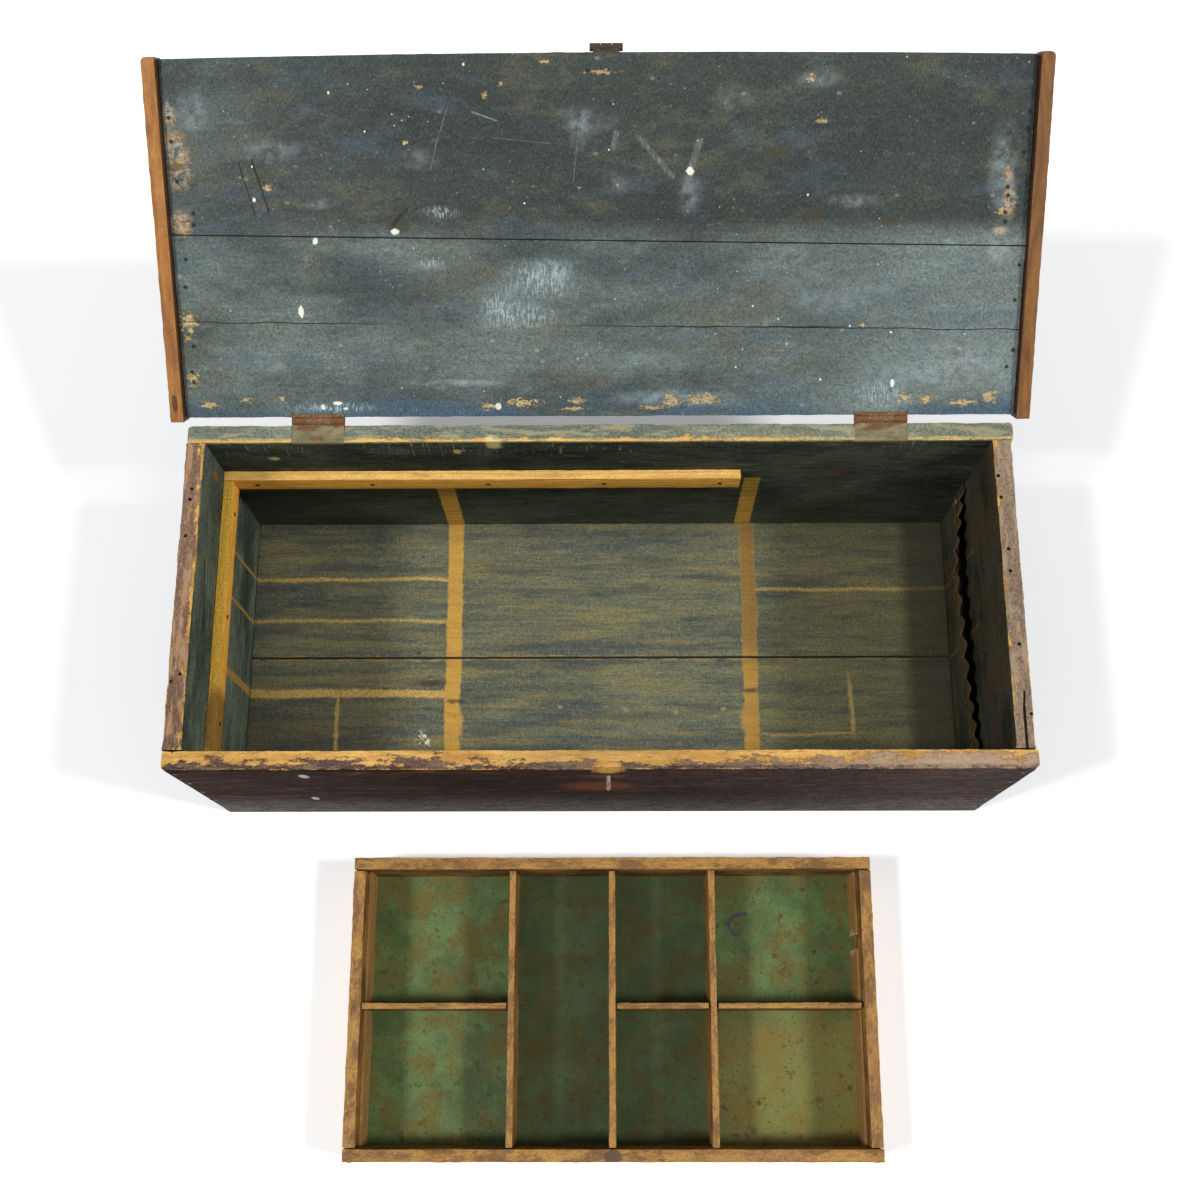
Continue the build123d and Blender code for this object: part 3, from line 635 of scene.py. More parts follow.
for node in ("floor_front", "floor_back"):
    low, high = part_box(node)
    plank = saw_board(
        node + "_plank", low, high, ((13, 13), (11,), (1,)), arris=0.0012, dips=0.0012,
        snug=lambda p: abs(p.y - seam_y) < 0.003 or p.z < 0.016,
    )
    finish, shader, spot, _ = start_finish(node + "_paint")
    grain = pine_grain(spot)
    colour = paint_coat(spot, floor_blue, floor_green, floor_pale, streak=0.6)
    olive = cloudy(spot, 0.013, 0.4, 0.68, 9, detail=9.0, rough=0.72)
    colour = tint(olive * 0.68, colour, gritty(spot, (0.24, 0.19, 0.055)))
    weave = either(*(
        cloudy(spot, 0.0026, 0.52, 0.7, stretch, detail=3.0, rough=0.8)
        for stretch in ((1, 3.5, 1), (3.5, 1, 1))
    ))
    colour = tint(weave * 0.5, colour, floor_pale)
    x, y, _ = apart(spot)
    right_olive = fade(x, 0.15, 0.3) * 0.45
    colour = tint(right_olive, colour, gritty(spot, (0.155, 0.135, 0.045)))
    left_brown = fade(x, -0.2, -0.36) * fade(y, 0.02, -0.12)
    colour = tint(left_brown * 0.55, colour, gritty(spot, (0.07, 0.05, 0.018)))
    ragged = mottle(spot, 0.008, detail=7.0, rough=0.7)
    wander = (ragged - 0.5) * 0.007
    sway = (mottle(spot, 0.09, detail=1.0) - 0.5) * 0.008
    bend = wander + sway
    across = x + bend
    deep = y + bend
    left_side = between(x, -0.436, -0.19, 0.002)
    right_side = between(x, 0.192, 0.434, 0.002)
    bulge_left = blot(spot, (-0.18, -0.088, floor_z), (0.0095, 0.022, 0.01), ragged - 0.5, 0.3)
    bulge_right = blot(spot, (0.181, -0.082, floor_z), (0.0095, 0.018, 0.01), ragged - 0.5, 0.3)
    bands = either(
        between(across, -0.192, -0.1735, 0.0016), between(across, 0.1755, 0.193, 0.0016),
        bulge_left * 0.9, bulge_right * 0.9,
    )
    rows = [
        (between(deep, 0.0945, 0.099, 0.0017), left_side, 1.0),
        (between(deep, 0.041, 0.045, 0.0017), left_side, 0.85),
        (between(deep, -0.0545, -0.0445, 0.0018), left_side, 1.0),
        (between(deep, 0.0805, 0.0845, 0.0017), right_side, 0.75),
        (between(deep, -0.1035, -0.1005, 0.0016), between(x, 0.192, 0.31, 0.02), 0.7),
        (between(across, -0.3268, -0.3225, 0.0016), fade(y, -0.05, -0.053), 0.75),
        (between(across, 0.3045, 0.309, 0.0018), between(y, -0.103, -0.032, 0.012), 0.75),
    ]
    paler = cloudy(spot, 0.0018, 0.6, 0.66, (2.6, 1, 1), detail=5.0, rough=0.75)
    paler = paler * cloudy(spot, 0.06, 0.42, 0.6, detail=5.0)
    colour = tint(paler * 0.55, colour, (0.36, 0.39, 0.31))
    mauled = cloudy(spot, 0.013, 0.6, 0.66, 1.5, detail=10.0, rough=0.85)
    colour = tint(mauled * 0.35, colour, (0.3, 0.32, 0.24))
    sooty = cloudy(spot, 0.015, 0.56, 0.36, 10, detail=10.0, rough=0.72)
    colour = tint(sooty * 0.57, colour, gritty(spot, (0.03, 0.042, 0.046)))
    ghosts = bands
    for line, reach, strength in rows:
        ghosts = maths("MAXIMUM", ghosts, line * reach * strength)
    tan = gritty(spot, tint(grain * 0.6, (0.56, 0.315, 0.054), (0.33, 0.165, 0.034)), 0.0016, 0.3)
    tan = tint(bands, gritty(spot, (0.47, 0.31, 0.085)), tan)
    dulled = fade(x, 0.15, 0.17) * fade(y, -0.03, 0.03, 0.25, 0.7)
    tan = tint(dulled * bands, tan, gritty(spot, (0.15, 0.085, 0.02)))
    thin = cloudy(spot, 0.003, 0.2, 0.42, 3, detail=6.0, rough=0.75)
    colour = tint(ghosts * thin, colour, tan)
    rags = (ragged - 0.5) * 2.5
    knots = either(
        blot(spot, (-0.18, -0.06, floor_z), (0.01, 0.003, 0.01), rags, 0.5),
        blot(spot, (0.184, -0.047, floor_z), (0.009, 0.003, 0.01), rags, 0.5),
        blot(spot, (-0.212, -0.037, floor_z), (0.015, 0.0045, 0.01), rags, 0.4),
        blot(spot, (-0.227, 0.001, floor_z), (0.0035, 0.0025, 0.01), rags, 0.3),
    )
    colour = tint(knots * 0.75, colour, (0.045, 0.028, 0.012))
    nicked = either(*(
        blot(spot, (at_x, at_y, floor_z), (0.0032, 0.0026, 0.01), rags, 0.3)
        for at_x, at_y in ((-0.051, -0.068), (0.03, -0.071), (0.092, -0.074), (0.15, -0.07))
    ))
    colour = tint(nicked * 0.7, colour, (0.33, 0.24, 0.1))
    specked = blot(spot, (-0.218, -0.108, floor_z), (0.01, 0.01, 0.01), rags, 0.5)
    specked = specked * cloudy(spot, 0.004, 0.52, 0.58, detail=6.0)
    colour = tint(specked, colour, (0.68, 0.68, 0.58))
    seam_edge = between(deep, seam_y - 0.0032, seam_y + 0.002, 0.0008)
    frayed = cloudy(spot, 0.009, 0.42, 0.55, 3, detail=7.0, rough=0.75)
    colour = tint(seam_edge * frayed * 0.7, colour, (0.36, 0.25, 0.08))
    seam_gap = between(y + wander * 0.3, seam_y - 0.0013, seam_y + 0.0013, 0.0006)
    colour = tint(seam_gap, colour, (0.01, 0.008, 0.004))
    # Darker towards the end walls and the back wall.
    near_walls = maths("MAXIMUM", fade(maths("ABSOLUTE", x), 0.36, 0.45), fade(y, 0.13, 0.175))
    colour = tint(near_walls * 0.35, colour, (0.03, 0.026, 0.012))
    # Painted shadow: the floor beside the leather strip is painted much darker for the shade cast there by
    # the right wall.
    strip_shadow = fade(x + ragged * 0.012, 0.372, 0.396)
    colour = tint(strip_shadow * 0.72, colour, (0.02, 0.017, 0.006))
    colour = specks_and_dents(spot, colour)
    rough = 0.55 + ragged * 0.3
    height = (grain + seam_gap * 2.0) * -0.7
    end_finish(shader, colour, rough, height, 0.0006)
    plank.data.materials.append(finish)
    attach(plank, "case")
    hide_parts(node)


# The cleats that carried the tray: bare ripped pine, the left one fitted between the long two,
# each nailed to its wall. They were never painted, so they are the brightest wood in the case.

def raw_pine_finish(name, along, pale, dark, stain, stain_cover):
    """Bare wood: rings and fibres, with a grimy film where hands and dust have darkened it."""
    finish, shader, spot, facing = start_finish(name, along)
    grain = pine_grain(spot, 0.7)
    colour = tint(grain, pale, dark)
    film = cloudy(spot, 0.04, 1 - stain_cover, 1.15 - stain_cover, 3, detail=9.0, rough=0.7)
    colour = tint(film * 0.8, colour, stain)
    return finish, shader, spot, facing, gritty(spot, colour, 0.0016, 0.28), grain, film


cleat_cuts = {
    "cleat_back": ((13, 9), (1,), (3,)), "cleat_front": ((13, 9), (1,), (3,)),
    "cleat_left": ((1,), (11, 7), (3,)),
}
for node, cuts in cleat_cuts.items():
    low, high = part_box(node)
    cleat = saw_board(node + "_strip", low, high, cuts, arris=0.0008, dips=0.0012)
    finish, shader, spot, facing, colour, grain, film = raw_pine_finish(
        node + "_pine", 1 if node == "cleat_left" else 0, (0.86, 0.53, 0.15), (0.6, 0.325, 0.075),
        (0.34, 0.175, 0.045), 0.44,
    )
    z_in = apart(facing)[2]
    # Painted light: the cleats' side faces are painted brighter and more golden than their tops.
    side_light_colour = vector_maths("MULTIPLY", colour, (1.25, 1.06, 0.55))
    colour = tint(fade(z_in, 0.6, 0.3), colour, side_light_colour)
    # Painted shade: the left cleat's top is painted a darker olive ochre.
    if node == "cleat_left":
        ochre = gritty(spot, (0.6, 0.345, 0.024))
        colour = tint(fade(z_in, 0.3, 0.6) * 0.85, colour, ochre)
        stain = blot(spot, (-0.425, -0.125, 0.2), (0.009, 0.026, 0.03), film - 0.5, 0.4)
        colour = tint(stain * 0.7, colour, (0.1, 0.045, 0.012))
    colour = specks_and_dents(spot, colour)
    rough = 0.6 + film * 0.15
    end_finish(shader, colour, rough, grain * -1.0, 0.0006)
    cleat.data.materials.append(finish)
    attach(cleat, "case")
    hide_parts(node)


# The leather strip along the right end: harness leather about 2.2 mm thick, its two long edges
# cut in scallops, tacked at both ends and sprung away from the wall in between, so that small
# things could be tucked behind it.

strip_low, strip_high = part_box("leather_strip")
strip_y0 = strip_low.y
strip_length = strip_high.y - strip_low.y
strip_middle = 0.130
strip_half = 0.023
scallop_count = 15
scallop_rise = 0.009
strip_thick = 0.0022
wall_face = 0.432

bpy.ops.object.select_all(action="DESELECT")
bpy.ops.mesh.primitive_grid_add(x_subdivisions=20, y_subdivisions=240, size=1)
strip = bpy.context.active_object
strip.name = "leather_strip_cut"
for point in strip.data.vertices:
    across = point.co.x * 2
    run = point.co.y + 0.5
    y = strip_y0 + run * strip_length
    wave = run * scallop_count + 0.35 * math.sin(2 * math.pi * run)
    rise = scallop_rise * (0.5 - 0.5 * math.cos(2 * math.pi * wave)) ** 0.8
    uneven = 1 + 0.16 * math.sin(wave * 2.2 + across) + 0.12 * math.sin(wave * 5.1)
    worn_flat = 1 - 0.45 * (1 - min(1, run / 0.35))
    half = strip_half + rise * min(1.0, uneven * worn_flat)
    ends = min(1, run / 0.06, (1 - run) / 0.06)
    ease = ends * ends * (3 - 2 * ends)
    bow = (
        0.009 * math.sin(math.pi * min(1, run * 1.05)) + 0.0055 * math.exp(-((run - 0.72) / 0.16) ** 2)
    ) * ease
    curl = -0.0030 * (rise / scallop_rise) * max(0.0, across) ** 3 * ease
    lean = -0.0052 * across * ease
    point.co = (
        wall_face - 0.0010 - strip_thick / 2 - max(0.0, bow + curl - lean),
        y,
        strip_middle + across * half,
    )
thickening = strip.modifiers.new("thick", "SOLIDIFY")
thickening.thickness = strip_thick
thickening.offset = 0
bpy.ops.object.modifier_apply(modifier="thick")
rounding = strip.modifiers.new("edge", "BEVEL")
rounding.width = 0.0005
rounding.segments = 2
rounding.limit_method = "ANGLE"
rounding.angle_limit = math.radians(50)
bpy.ops.object.modifier_apply(modifier="edge")
bpy.ops.object.shade_smooth_by_angle(angle=math.radians(40))

finish, shader, spot, facing = start_finish("old_harness_leather")
hide = add_node("TexVoronoi", {"Vector": spot, "Scale": 520.0, "Randomness": 1.0}, out="Distance")
creases = mottle(spot, 0.01, (1, 0.5, 2.5), detail=7.0, rough=0.7)
clouds = mottle(spot, 0.03, detail=5.0)
colour = tint(fade(clouds, 0.35, 0.65), (0.04, 0.026, 0.007), (0.088, 0.055, 0.016))
colour = tint(fade(creases, 0.54, 0.68) * 0.5, colour, (0.02, 0.014, 0.006))
width_share = apart(add_node("UVMap", {}, tree=shader.id_data, uv_map="UVMap"))[0]
glints = cloudy(spot, 0.0035, 0.6, 0.68, (1, 3, 1), detail=6.0, rough=0.75)
colour = tint(glints * 0.3, colour, (0.19, 0.14, 0.065))
cut_edge = fade(maths("ABSOLUTE", apart(facing)[2]), 0.35, 0.8)
pale_edge = fade(apart(spot)[2], strip_middle - 0.012, strip_middle - 0.02)
frayed = cloudy(spot, 0.006, 0.42, 0.56, detail=5.0)
colour = tint(cut_edge * (pale_edge * frayed), colour, (0.55, 0.46, 0.33))
pale_line = between(width_share, 0.035, 0.062, 0.012) * fade(frayed, 0.1, 0.6)
colour = tint(pale_line * 0.8, colour, (0.5, 0.46, 0.32))
rough = 0.48 + creases * 0.35
height = hide * 0.25 - creases * 0.6
end_finish(shader, colour, rough, height, 0.0007)
strip.data.materials.append(finish)
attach(strip, "case")
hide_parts("leather_strip")


# Iron: cut nails, hinges, screws, pins, the hasp and its staple, all hand-worked or stamped iron
# that has rusted. The tacks of the leather strip are worn bright on their heads.

def iron_finish(name, rust, metal, cover, bright=0.0):
    """Dark iron under orange and brown rust, pitted all over."""
    finish, shader, spot, _ = start_finish(name)
    blooms = mottle(spot, 0.006, detail=8.0, rough=0.7)
    pits = mottle(spot, 0.0012, detail=4.0, rough=0.7)
    rusted = fade(blooms, 1 - cover - 0.08, 1 - cover + 0.08)
    colour = tint(rusted, metal, tint(fade(pits, 0.3, 0.7), rust, [c * 0.4 for c in rust]))
    rough = 0.42 + rusted * 0.4
    shader.inputs["Metallic"].default_value = bright
    height = pits * 0.6 + rusted
    return finish, shader, spot, colour, rough, height


def refinish(nodes, finish):
    """A CAD node keeps its shape and takes this finish."""
    for node in nodes:
        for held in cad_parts[node].material_slots:
            held.material = finish


for name, nodes, rust, metal, cover, bright in (
    (
        "nail_rust", ["case_nails", "cleat_nails", "lid_nails", "tray_nails"], (0.06, 0.03, 0.015),
        (0.02, 0.016, 0.013), 0.45, 0.2,
    ),
    (
        "hinge_rust", ["hinge_left_pin", "hinge_right_pin"], (0.21, 0.105, 0.045), (0.075, 0.048, 0.03),
        0.6, 0.25,
    ),
    (
        "hasp_iron", ["hasp_plate", "hasp_pin", "hasp_strap", "hasp_screws"], (0.15, 0.085, 0.04),
        (0.075, 0.058, 0.052), 0.5, 0.4,
    ),
    ("staple_iron", ["staple"], (0.26, 0.15, 0.09), (0.3, 0.24, 0.18), 0.42, 0.4),
    ("tack_steel", ["strip_tacks"], (0.24, 0.17, 0.11), (0.62, 0.6, 0.55), 0.3, 0.8),
):
    finish, shader, spot, colour, rough, height = iron_finish(name, rust, metal, cover, bright)
    end_finish(shader, colour, rough, height, 0.00035)
    refinish(nodes, finish)

finish, shader, spot, colour, rough, height = iron_finish(
    "painted_leaf", (0.26, 0.12, 0.04), (0.12, 0.08, 0.05), 0.6, 0.1
)
brushed = mottle(spot, 0.012, (2.5, 1, 1), detail=7.0, rough=0.7)
kept = fade(brushed - fade(apart(spot)[1], 0.186, 0.198) * 0.35, 0.36, 0.44)
paint = tint(fade(brushed, 0.4, 0.65), (0.17, 0.155, 0.085), (0.3, 0.235, 0.13))
colour = tint(kept, colour, paint)
end_finish(shader, colour, rough, height, 0.0004)
refinish(["hinge_left_case_leaf", "hinge_right_case_leaf", "hinge_case_screws"], finish)


# The lid: two planks edge to edge, the joint between them a little aslant and the front edge bowed
# out by use, painted slate blue-green underneath and plum brown on top. It is made lying shut and
# then swung open about the hinge pins.

lid_open_angle = math.radians(147.3)
pin_line = Vector((0, 0.1972, 0.29015))
lid_back_y = 0.1935
lid_front_y = -0.1875
lid_under = 0.2903
lid_top = 0.3093
leaf_reach = 0.0242
leaf_sink = 0.00215
lid_half = 0.458
rail_thick = 0.016
rail_drop = 0.008
seam_left = 0.198
seam_right = 0.182
lid_blue = (0.141, 0.179, 0.165)
lid_grey = (0.037, 0.047, 0.039)
lid_dark = (0.042, 0.058, 0.055)

turn = Matrix.Rotation(-lid_open_angle, 4, "X")
swing = Matrix.Translation(pin_line) @ turn @ Matrix.Translation(-pin_line)
lid_origin = swing @ Vector((0, 0, 0))


def swing_open(piece):
    """Turn a piece of the shut lid to where it is with the lid open, its place kept in its mesh."""
    bpy.ops.object.select_all(action="DESELECT")
    piece.select_set(True)
    bpy.context.view_layer.objects.active = piece
    piece.matrix_world = swing
    bpy.ops.object.transform_apply(location=True, rotation=True, scale=True)


def near_seam(point):
    return abs(point.y - lid_back_y + (seam_left + seam_right) / 2) < 0.010


def seam_y_at(x):
    share = (x + lid_half) / (2 * lid_half)
    return lid_back_y - (seam_left + (seam_right - seam_left) * share)


def shape_back_plank(point):
    low = lid_back_y - seam_left
    share = (lid_back_y - point.y) / (lid_back_y - low)
    return Vector((point.x, lid_back_y - share * (lid_back_y - seam_y_at(point.x)), point.z))


def shape_front_plank(point):
    edge = lid_front_y + 0.004 * (point.x / lid_half) ** 2
    high = lid_back_y - seam_right
    share = (point.y - lid_front_y) / (high - lid_front_y)
    return Vector((point.x, edge + share * (seam_y_at(point.x) - edge), point.z))


plank_cuts = ((13, 13), (15,), (1,))
back_plank = saw_board(
    "lid_back_plank", (-lid_half, lid_back_y - seam_left, lid_under), (lid_half, lid_back_y, lid_top),
    plank_cuts, arris=0.0014, dips=0.0014, snug=near_seam, reshape=shape_back_plank,
    recesses=[
        (
            (x - leaf_half, lid_back_y - leaf_reach, lid_under - 0.001),
            (x + leaf_half, lid_back_y + 0.001, lid_under + leaf_sink),
        )
        for x in (-hinge_x, hinge_x)
    ],
)
front_plank = saw_board(
    "lid_front_plank", (-lid_half, lid_front_y, lid_under), (lid_half, lid_back_y - seam_right, lid_top),
    plank_cuts, arris=0.0014, dips=0.0018, snug=near_seam, reshape=shape_front_plank,
)


def lid_space(spot, facing):
    """Coordinates in which the lid lies shut, and the normal turned with them."""
    flat = add_node(
        "Mapping", {"Vector": spot, "Location": lid_origin, "Rotation": (-lid_open_angle, 0, 0)},
        vector_type="TEXTURE",
    )
    turned = add_node(
        "Mapping", {"Vector": facing, "Rotation": (-lid_open_angle, 0, 0)}, vector_type="TEXTURE"
    )
    return flat, turned


def under_lid(x, s):
    """A place on the underside, s from the hinge edge, both in millimetres."""
    return (x / 1000, lid_back_y - s / 1000, lid_under)


def lid_blots(spot, places, ragged, soft, unit=1000):
    """Ellipses on the underside, each of an x, an s, a half width and a half depth."""
    return either(*(
        blot(spot, under_lid(x, s), (w / unit, h / unit, 0.05), ragged, soft) for x, s, w, h in places
    ))


white_drops = [
    (97.7, 261, 4.0, 4.0), (-303.5, 191, 2.8, 3.6), (-323, 116, 2.8, 6.8), (-217.3, 200, 4.2, 3.4),
    (-111, 12, 3.2, 4), (-366, 234, 1.6, 2.2), (-245, 303, 1.0, 1.1), (-281, 342, 1.1, 1.8),
    (-139, 369, 1.3, 1.5), (223, 236, 1.1, 1.1), (167, 120, 1.0, 1.0), (205, 79, 1.0, 1.0),
    (243, 40, 1.1, 1.5), (-366, 268, 1.0, 1.2), (-78, 229, 1.0, 1.0), (12, 283, 1.0, 1.0),
    (322, 36, 2.4, 4.2), (-289, 16, 5.0, 2.0), (-305, 12, 2.2, 3.0), (-280, 10, 2.5, 1.5),
    (273, 98, 1.4, 1.2), (318, 91, 1.3, 1.3), (195, 106, 1.0, 1.0), (150, 54, 1.0, 1.0),
]
ochre_chips = [
    (-86, 16, 19, 5), (-24, 17.5, 11, 4), (-27, 9, 14, 2), (81, 18, 11, 7), (114, 19.5, 19, 6),
    (337, 20, 9, 5), (360, 18, 8, 5), (4, 361, 19, 2.2), (-53, 371, 5, 2.5), (-118, 339, 3, 4),
    (-351, 246, 5, 4), (-447, 106, 10, 11), (-449, 88, 4, 4), (-446, 44, 6, 8), (-444, 205, 9, 7),
    (287, 99, 4.5, 3), (429, 218, 9, 4), (-20, 245, 3, 2), (-390, 20, 6, 3), (-350, 22, 4, 2.5),
    (-120, 12, 8, 4), (-101, 350, 2.5, 2), (21, 247, 2.5, 2), (236, 311, 9, 3), (223, 353, 4, 4),
    (-203, 292, 3, 3), (-185, 347, 5, 2), (-430, 15, 9, 3.5), (60, 10, 16, 2.5), (400, 14, 16, 4),
    (430, 20, 8, 8),
]
pink_rubs = [
    (-446, 293, 10, 13), (-444, 270, 11, 22), (-449, 320, 6, 12), (-446, 210, 10, 12), (437, 228, 7, 15),
    (434, 256, 5, 8), (430, 198, 8, 4),
]
pale_scuffs = [
    (-62, 150, 30, 15, 0.9), (-50, 158, 16, 9, 0.7), (-85, 110, 28, 11, 0.9), (-108, 122, 15, 15, 0.8),
    (-150, 38, 34, 3, 0.5), (-168, 220, 14, 5, 0.9), (-182, 166, 13, 4, 0.8), (-292, 11, 34, 5, 0.9),
    (230, 352, 18, 6, 0.4), (310, 24, 20, 11, 0.8), (-10, 312, 24, 10, 0.25), (428, 262, 11, 36, 0.5),
    (330, 45, 40, 10, 0.35), (140, 332, 16, 8, 0.2), (-425, 325, 12, 16, 0.4), (-340, 285, 30, 9, 0.3),
    (98, 240, 9, 16, 0.35), (428, 178, 11, 10, 0.6), (270, 230, 20, 5, 0.4), (60, 60, 40, 10, 0.25),
    (-190, 275, 16, 9, 0.25), (80, 20, 50, 7, 0.5), (400, 60, 45, 24, 0.35), (250, 130, 50, 18, 0.25),
    (-20, 305, 9, 16, 0.35), (20, 250, 12, 9, 0.25), (-360, 60, 20, 8, 0.25), (-300, 230, 16, 5, 0.3),
]
long_marks = [
    ((-380, 272), (-366, 218), 1.7, "dark"), ((-366, 275), (-351, 221), 2.2, "dark"),
    ((-219, 208), (-203, 224), 2.6, "dark"), ((-219, 207), (-210, 218), 3.6, "dark"),
    ((-131, 322), (-106, 313), 1.6, "green"), ((-158, 324), (-170, 290), 0.8, "green"),
    ((-170, 290), (-177, 264), 0.8, "green"), ((45, 294), (79, 256), 5.0, "rub"),
    ((108, 292), (92, 242), 6.0, "rub"), ((20, 300), (17, 285), 5.0, "rub"),
    ((-110, 296), (-50, 290), 0.9, "pale"), ((300, 190), (330, 150), 0.9, "pale"),
    ((-243, 190), (-247, 160), 0.9, "pale"), ((-20, 300), (-26, 250), 1.2, "pale"),
]
mark_looks = {
    "dark": ((0.024, 0.02, 0.01), 0.95), "green": ((0.3, 0.4, 0.35), 0.6),
    "pale": ((0.2, 0.23, 0.2), 0.5), "rub": ((0.3, 0.34, 0.31), 0.45),
}
lid_knots = [(-214, 206, 13, 8), (309, 209, 13, 5), (231, 216, 10, 7), (-449, 268, 13, 4), (190, 280, 14, 4)]
nail_holes = [
    (-450, 318), (-450, 294), (-447, 253), (-432, 220), (-433, 208), (-444, 172), (-447, 143), (-443, 79),
    (-447, 51), (-446, 40), (452, 319), (451, 302), (449, 278), (434, 243), (435, 234), (433, 217),
    (434, 207), (452, 162), (450, 125), (452, 71), (446, 53), (-10, 362),
]


def lid_plank_finish(name, low, high):
    """The lid's paint, thin and slate blue, with everything that has hit, scratched or dripped on it."""
    finish, shader, spot, facing = start_finish(name)
    spot, facing = lid_space(spot, facing)
    x, y, _ = apart(spot)
    z_in = apart(facing)[2]
    grain = pine_grain(spot)
    wood = gritty(spot, tint(grain, (0.58, 0.45, 0.22), (0.36, 0.24, 0.1)), 0.0018, 0.45)
    ragged = mottle(spot, 0.0032, 1.5, detail=7.0, rough=0.75)
    rags = (ragged - 0.5) * 4.6
    blue = paint_coat(spot, lid_dark, lid_blue, (0.235, 0.275, 0.245), streak=0.28)
    grey = paint_coat(spot, [c * 0.5 for c in lid_dark], lid_grey, (0.115, 0.13, 0.108), streak=0.28)
    toward_front = fade(y + ragged * 0.02, 0.02, -0.012)
    toward_left = fade(x, -0.2, -0.42)
    grey = tint(toward_left * 0.6, grey, blue)
    toward_right = fade(x, 0.1, 0.42)
    blue = tint(toward_right * 0.3, blue, gritty(spot, (0.3, 0.37, 0.35)))
    paint = tint(toward_front, blue, grey)
    warm = cloudy(spot, 0.045, 0.5, 0.64, 1.8, detail=9.0, rough=0.72)
    paint = tint(warm * 0.5, paint, gritty(spot, (0.105, 0.098, 0.055)))
    bluer = cloudy(spot, 0.038, 0.5, 0.66, 2.2, detail=9.0, rough=0.75)
    paint = tint(bluer * 0.45, paint, gritty(spot, (0.062, 0.1, 0.125)))
    deep_blue = fade(y, 0.155, 0.188) * cloudy(spot, 0.03, 0.36, 0.6, 4, detail=6.0)
    paint = tint(deep_blue * 0.85, paint, gritty(spot, (0.045, 0.095, 0.145)))
    scraped = cloudy(spot, 0.01, 0.6, 0.67, 1.4, detail=10.0, rough=0.85)
    paint = tint(scraped * 0.4, paint, (0.27, 0.3, 0.25))
    pitted = cloudy(spot, 0.008, 0.4, 0.33, 2.5, detail=10.0, rough=0.85)
    paint = tint(pitted * 0.6, paint, (0.03, 0.04, 0.038))
    brushed = mottle(spot, 0.0012, (1, 4, 1), detail=3.0, rough=0.8)
    paint = tint(fade(brushed, 0.48, 0.75) * 0.3, paint, (0.25, 0.28, 0.25))
    strands = cloudy(spot, 0.0028, 0.5, 0.57, (0.7, 3.2, 1), detail=5.0, rough=0.75)
    smoky = cloudy(spot, 0.012, 0.35, 0.65, detail=6.0, rough=0.7)
    for *place, strength in pale_scuffs:
        hazy = lid_blots(spot, [place], 0.0, 0.9) * strength
        brush_share = 0.85 if strength > 0.7 else 0.15
        paint = tint(hazy * tint(brush_share, smoky, strands), paint, (0.42, 0.52, 0.54))
    patchy = cloudy(spot, 0.01, 0.4, 0.56, detail=8.0, rough=0.75)
    rubs = lid_blots(spot, pink_rubs, 0.0, 0.6)
    flesh = tint(cloudy(spot, 0.014, 0.4, 0.6, detail=5.0), (0.46, 0.28, 0.13), (0.46, 0.4, 0.31))
    paint = tint(rubs * patchy * 0.85, paint, gritty(spot, flesh))
    knots = lid_blots(spot, lid_knots, rags * 0.4, 0.35)
    paint = tint(knots * 0.7, paint, (0.05, 0.046, 0.02))
    for start, end, width, kind in long_marks:
        mark = stroke(spot, under_lid(*start), under_lid(*end), width / 1000)
        tone, share = mark_looks[kind]
        broken = fade(strands if kind == "rub" else ragged, 0.35, 0.6, 0.15, share)
        paint = tint(mark * (share if kind == "dark" else broken), paint, tone)
    outside = paint_coat(spot, plum_dark, plum, plum_grey)
    paint = tint(fade(z_in, -0.8, -0.5), paint, outside)
    edge = edge_distance(spot, low, high)
    worn = fade(edge / 0.0022 + ragged * 4.5, 1.75, 1.5)
    below = fade(z_in, 0.1, -0.4)
    chips = lid_blots(spot, ochre_chips, rags * 1.6, 0.25, unit=1250) * below
    tiny = cloudy(spot, 0.009, 0.7, 0.72, detail=9.0, rough=0.85)
    bare = either(worn, chips, tiny * 0.8)
    colour = tint(bare * 0.9, paint, wood)
    nudge = rags * 0.35
    drops = lid_blots(spot, white_drops, nudge, 0.2)
    spatter = either(flecks(spot, 0.03, 0.03), flecks(spot, 0.018, 0.035))
    dusty = either(flecks(spot, 0.024, 0.085, (1.4, 1, 1)), flecks(spot, 0.012, 0.09))
    dusty = dusty * cloudy(spot, 0.07, 0.4, 0.6, detail=4.0)
    spatter = spatter * 0.65 + dusty * 0.16
    drops = either(drops, spatter) * below
    colour = tint(drops, colour, (0.82, 0.8, 0.7))
    wander = (mottle(spot, 0.05, detail=3.0) - 0.5) * 0.006
    crack_y = y + (wander + x * -0.0135)
    crack = between(crack_y, 0.0937, 0.0943, 0.0004)
    crack = crack * either(fade(x, -0.21, -0.3), fade(x, -0.1, 0.12))
    doubled = between(crack_y + x * 0.012, 0.0955, 0.096, 0.0004)
    crack = either(crack, doubled * between(x, 0.1, 0.26, 0.03))
    seam_line = vector_maths("DOT_PRODUCT", spot, (0.0175, -1.0, 0), out="Value")
    seam = between(seam_line, -0.004, -0.003, 0.0004)
    holes = either(*(blot(spot, under_lid(*at), (0.0019, 0.0019, 0.01), nudge, 0.3) for at in nail_holes))
    shakes = cloudy(spot, 0.004, 0.7, 0.74, 5, detail=7.0, rough=0.8)
    dark = either(either(crack, holes, shakes * 0.7) * below, seam)
    colour = tint(dark * 0.92, colour, (0.012, 0.013, 0.01))
    rough = 0.5 + ragged * 0.28
    height = grain * -0.5 - (bare * 0.5 + dark * 2.5) + drops * 0.8
    end_finish(shader, colour, rough, height, 0.0006)
    return finish


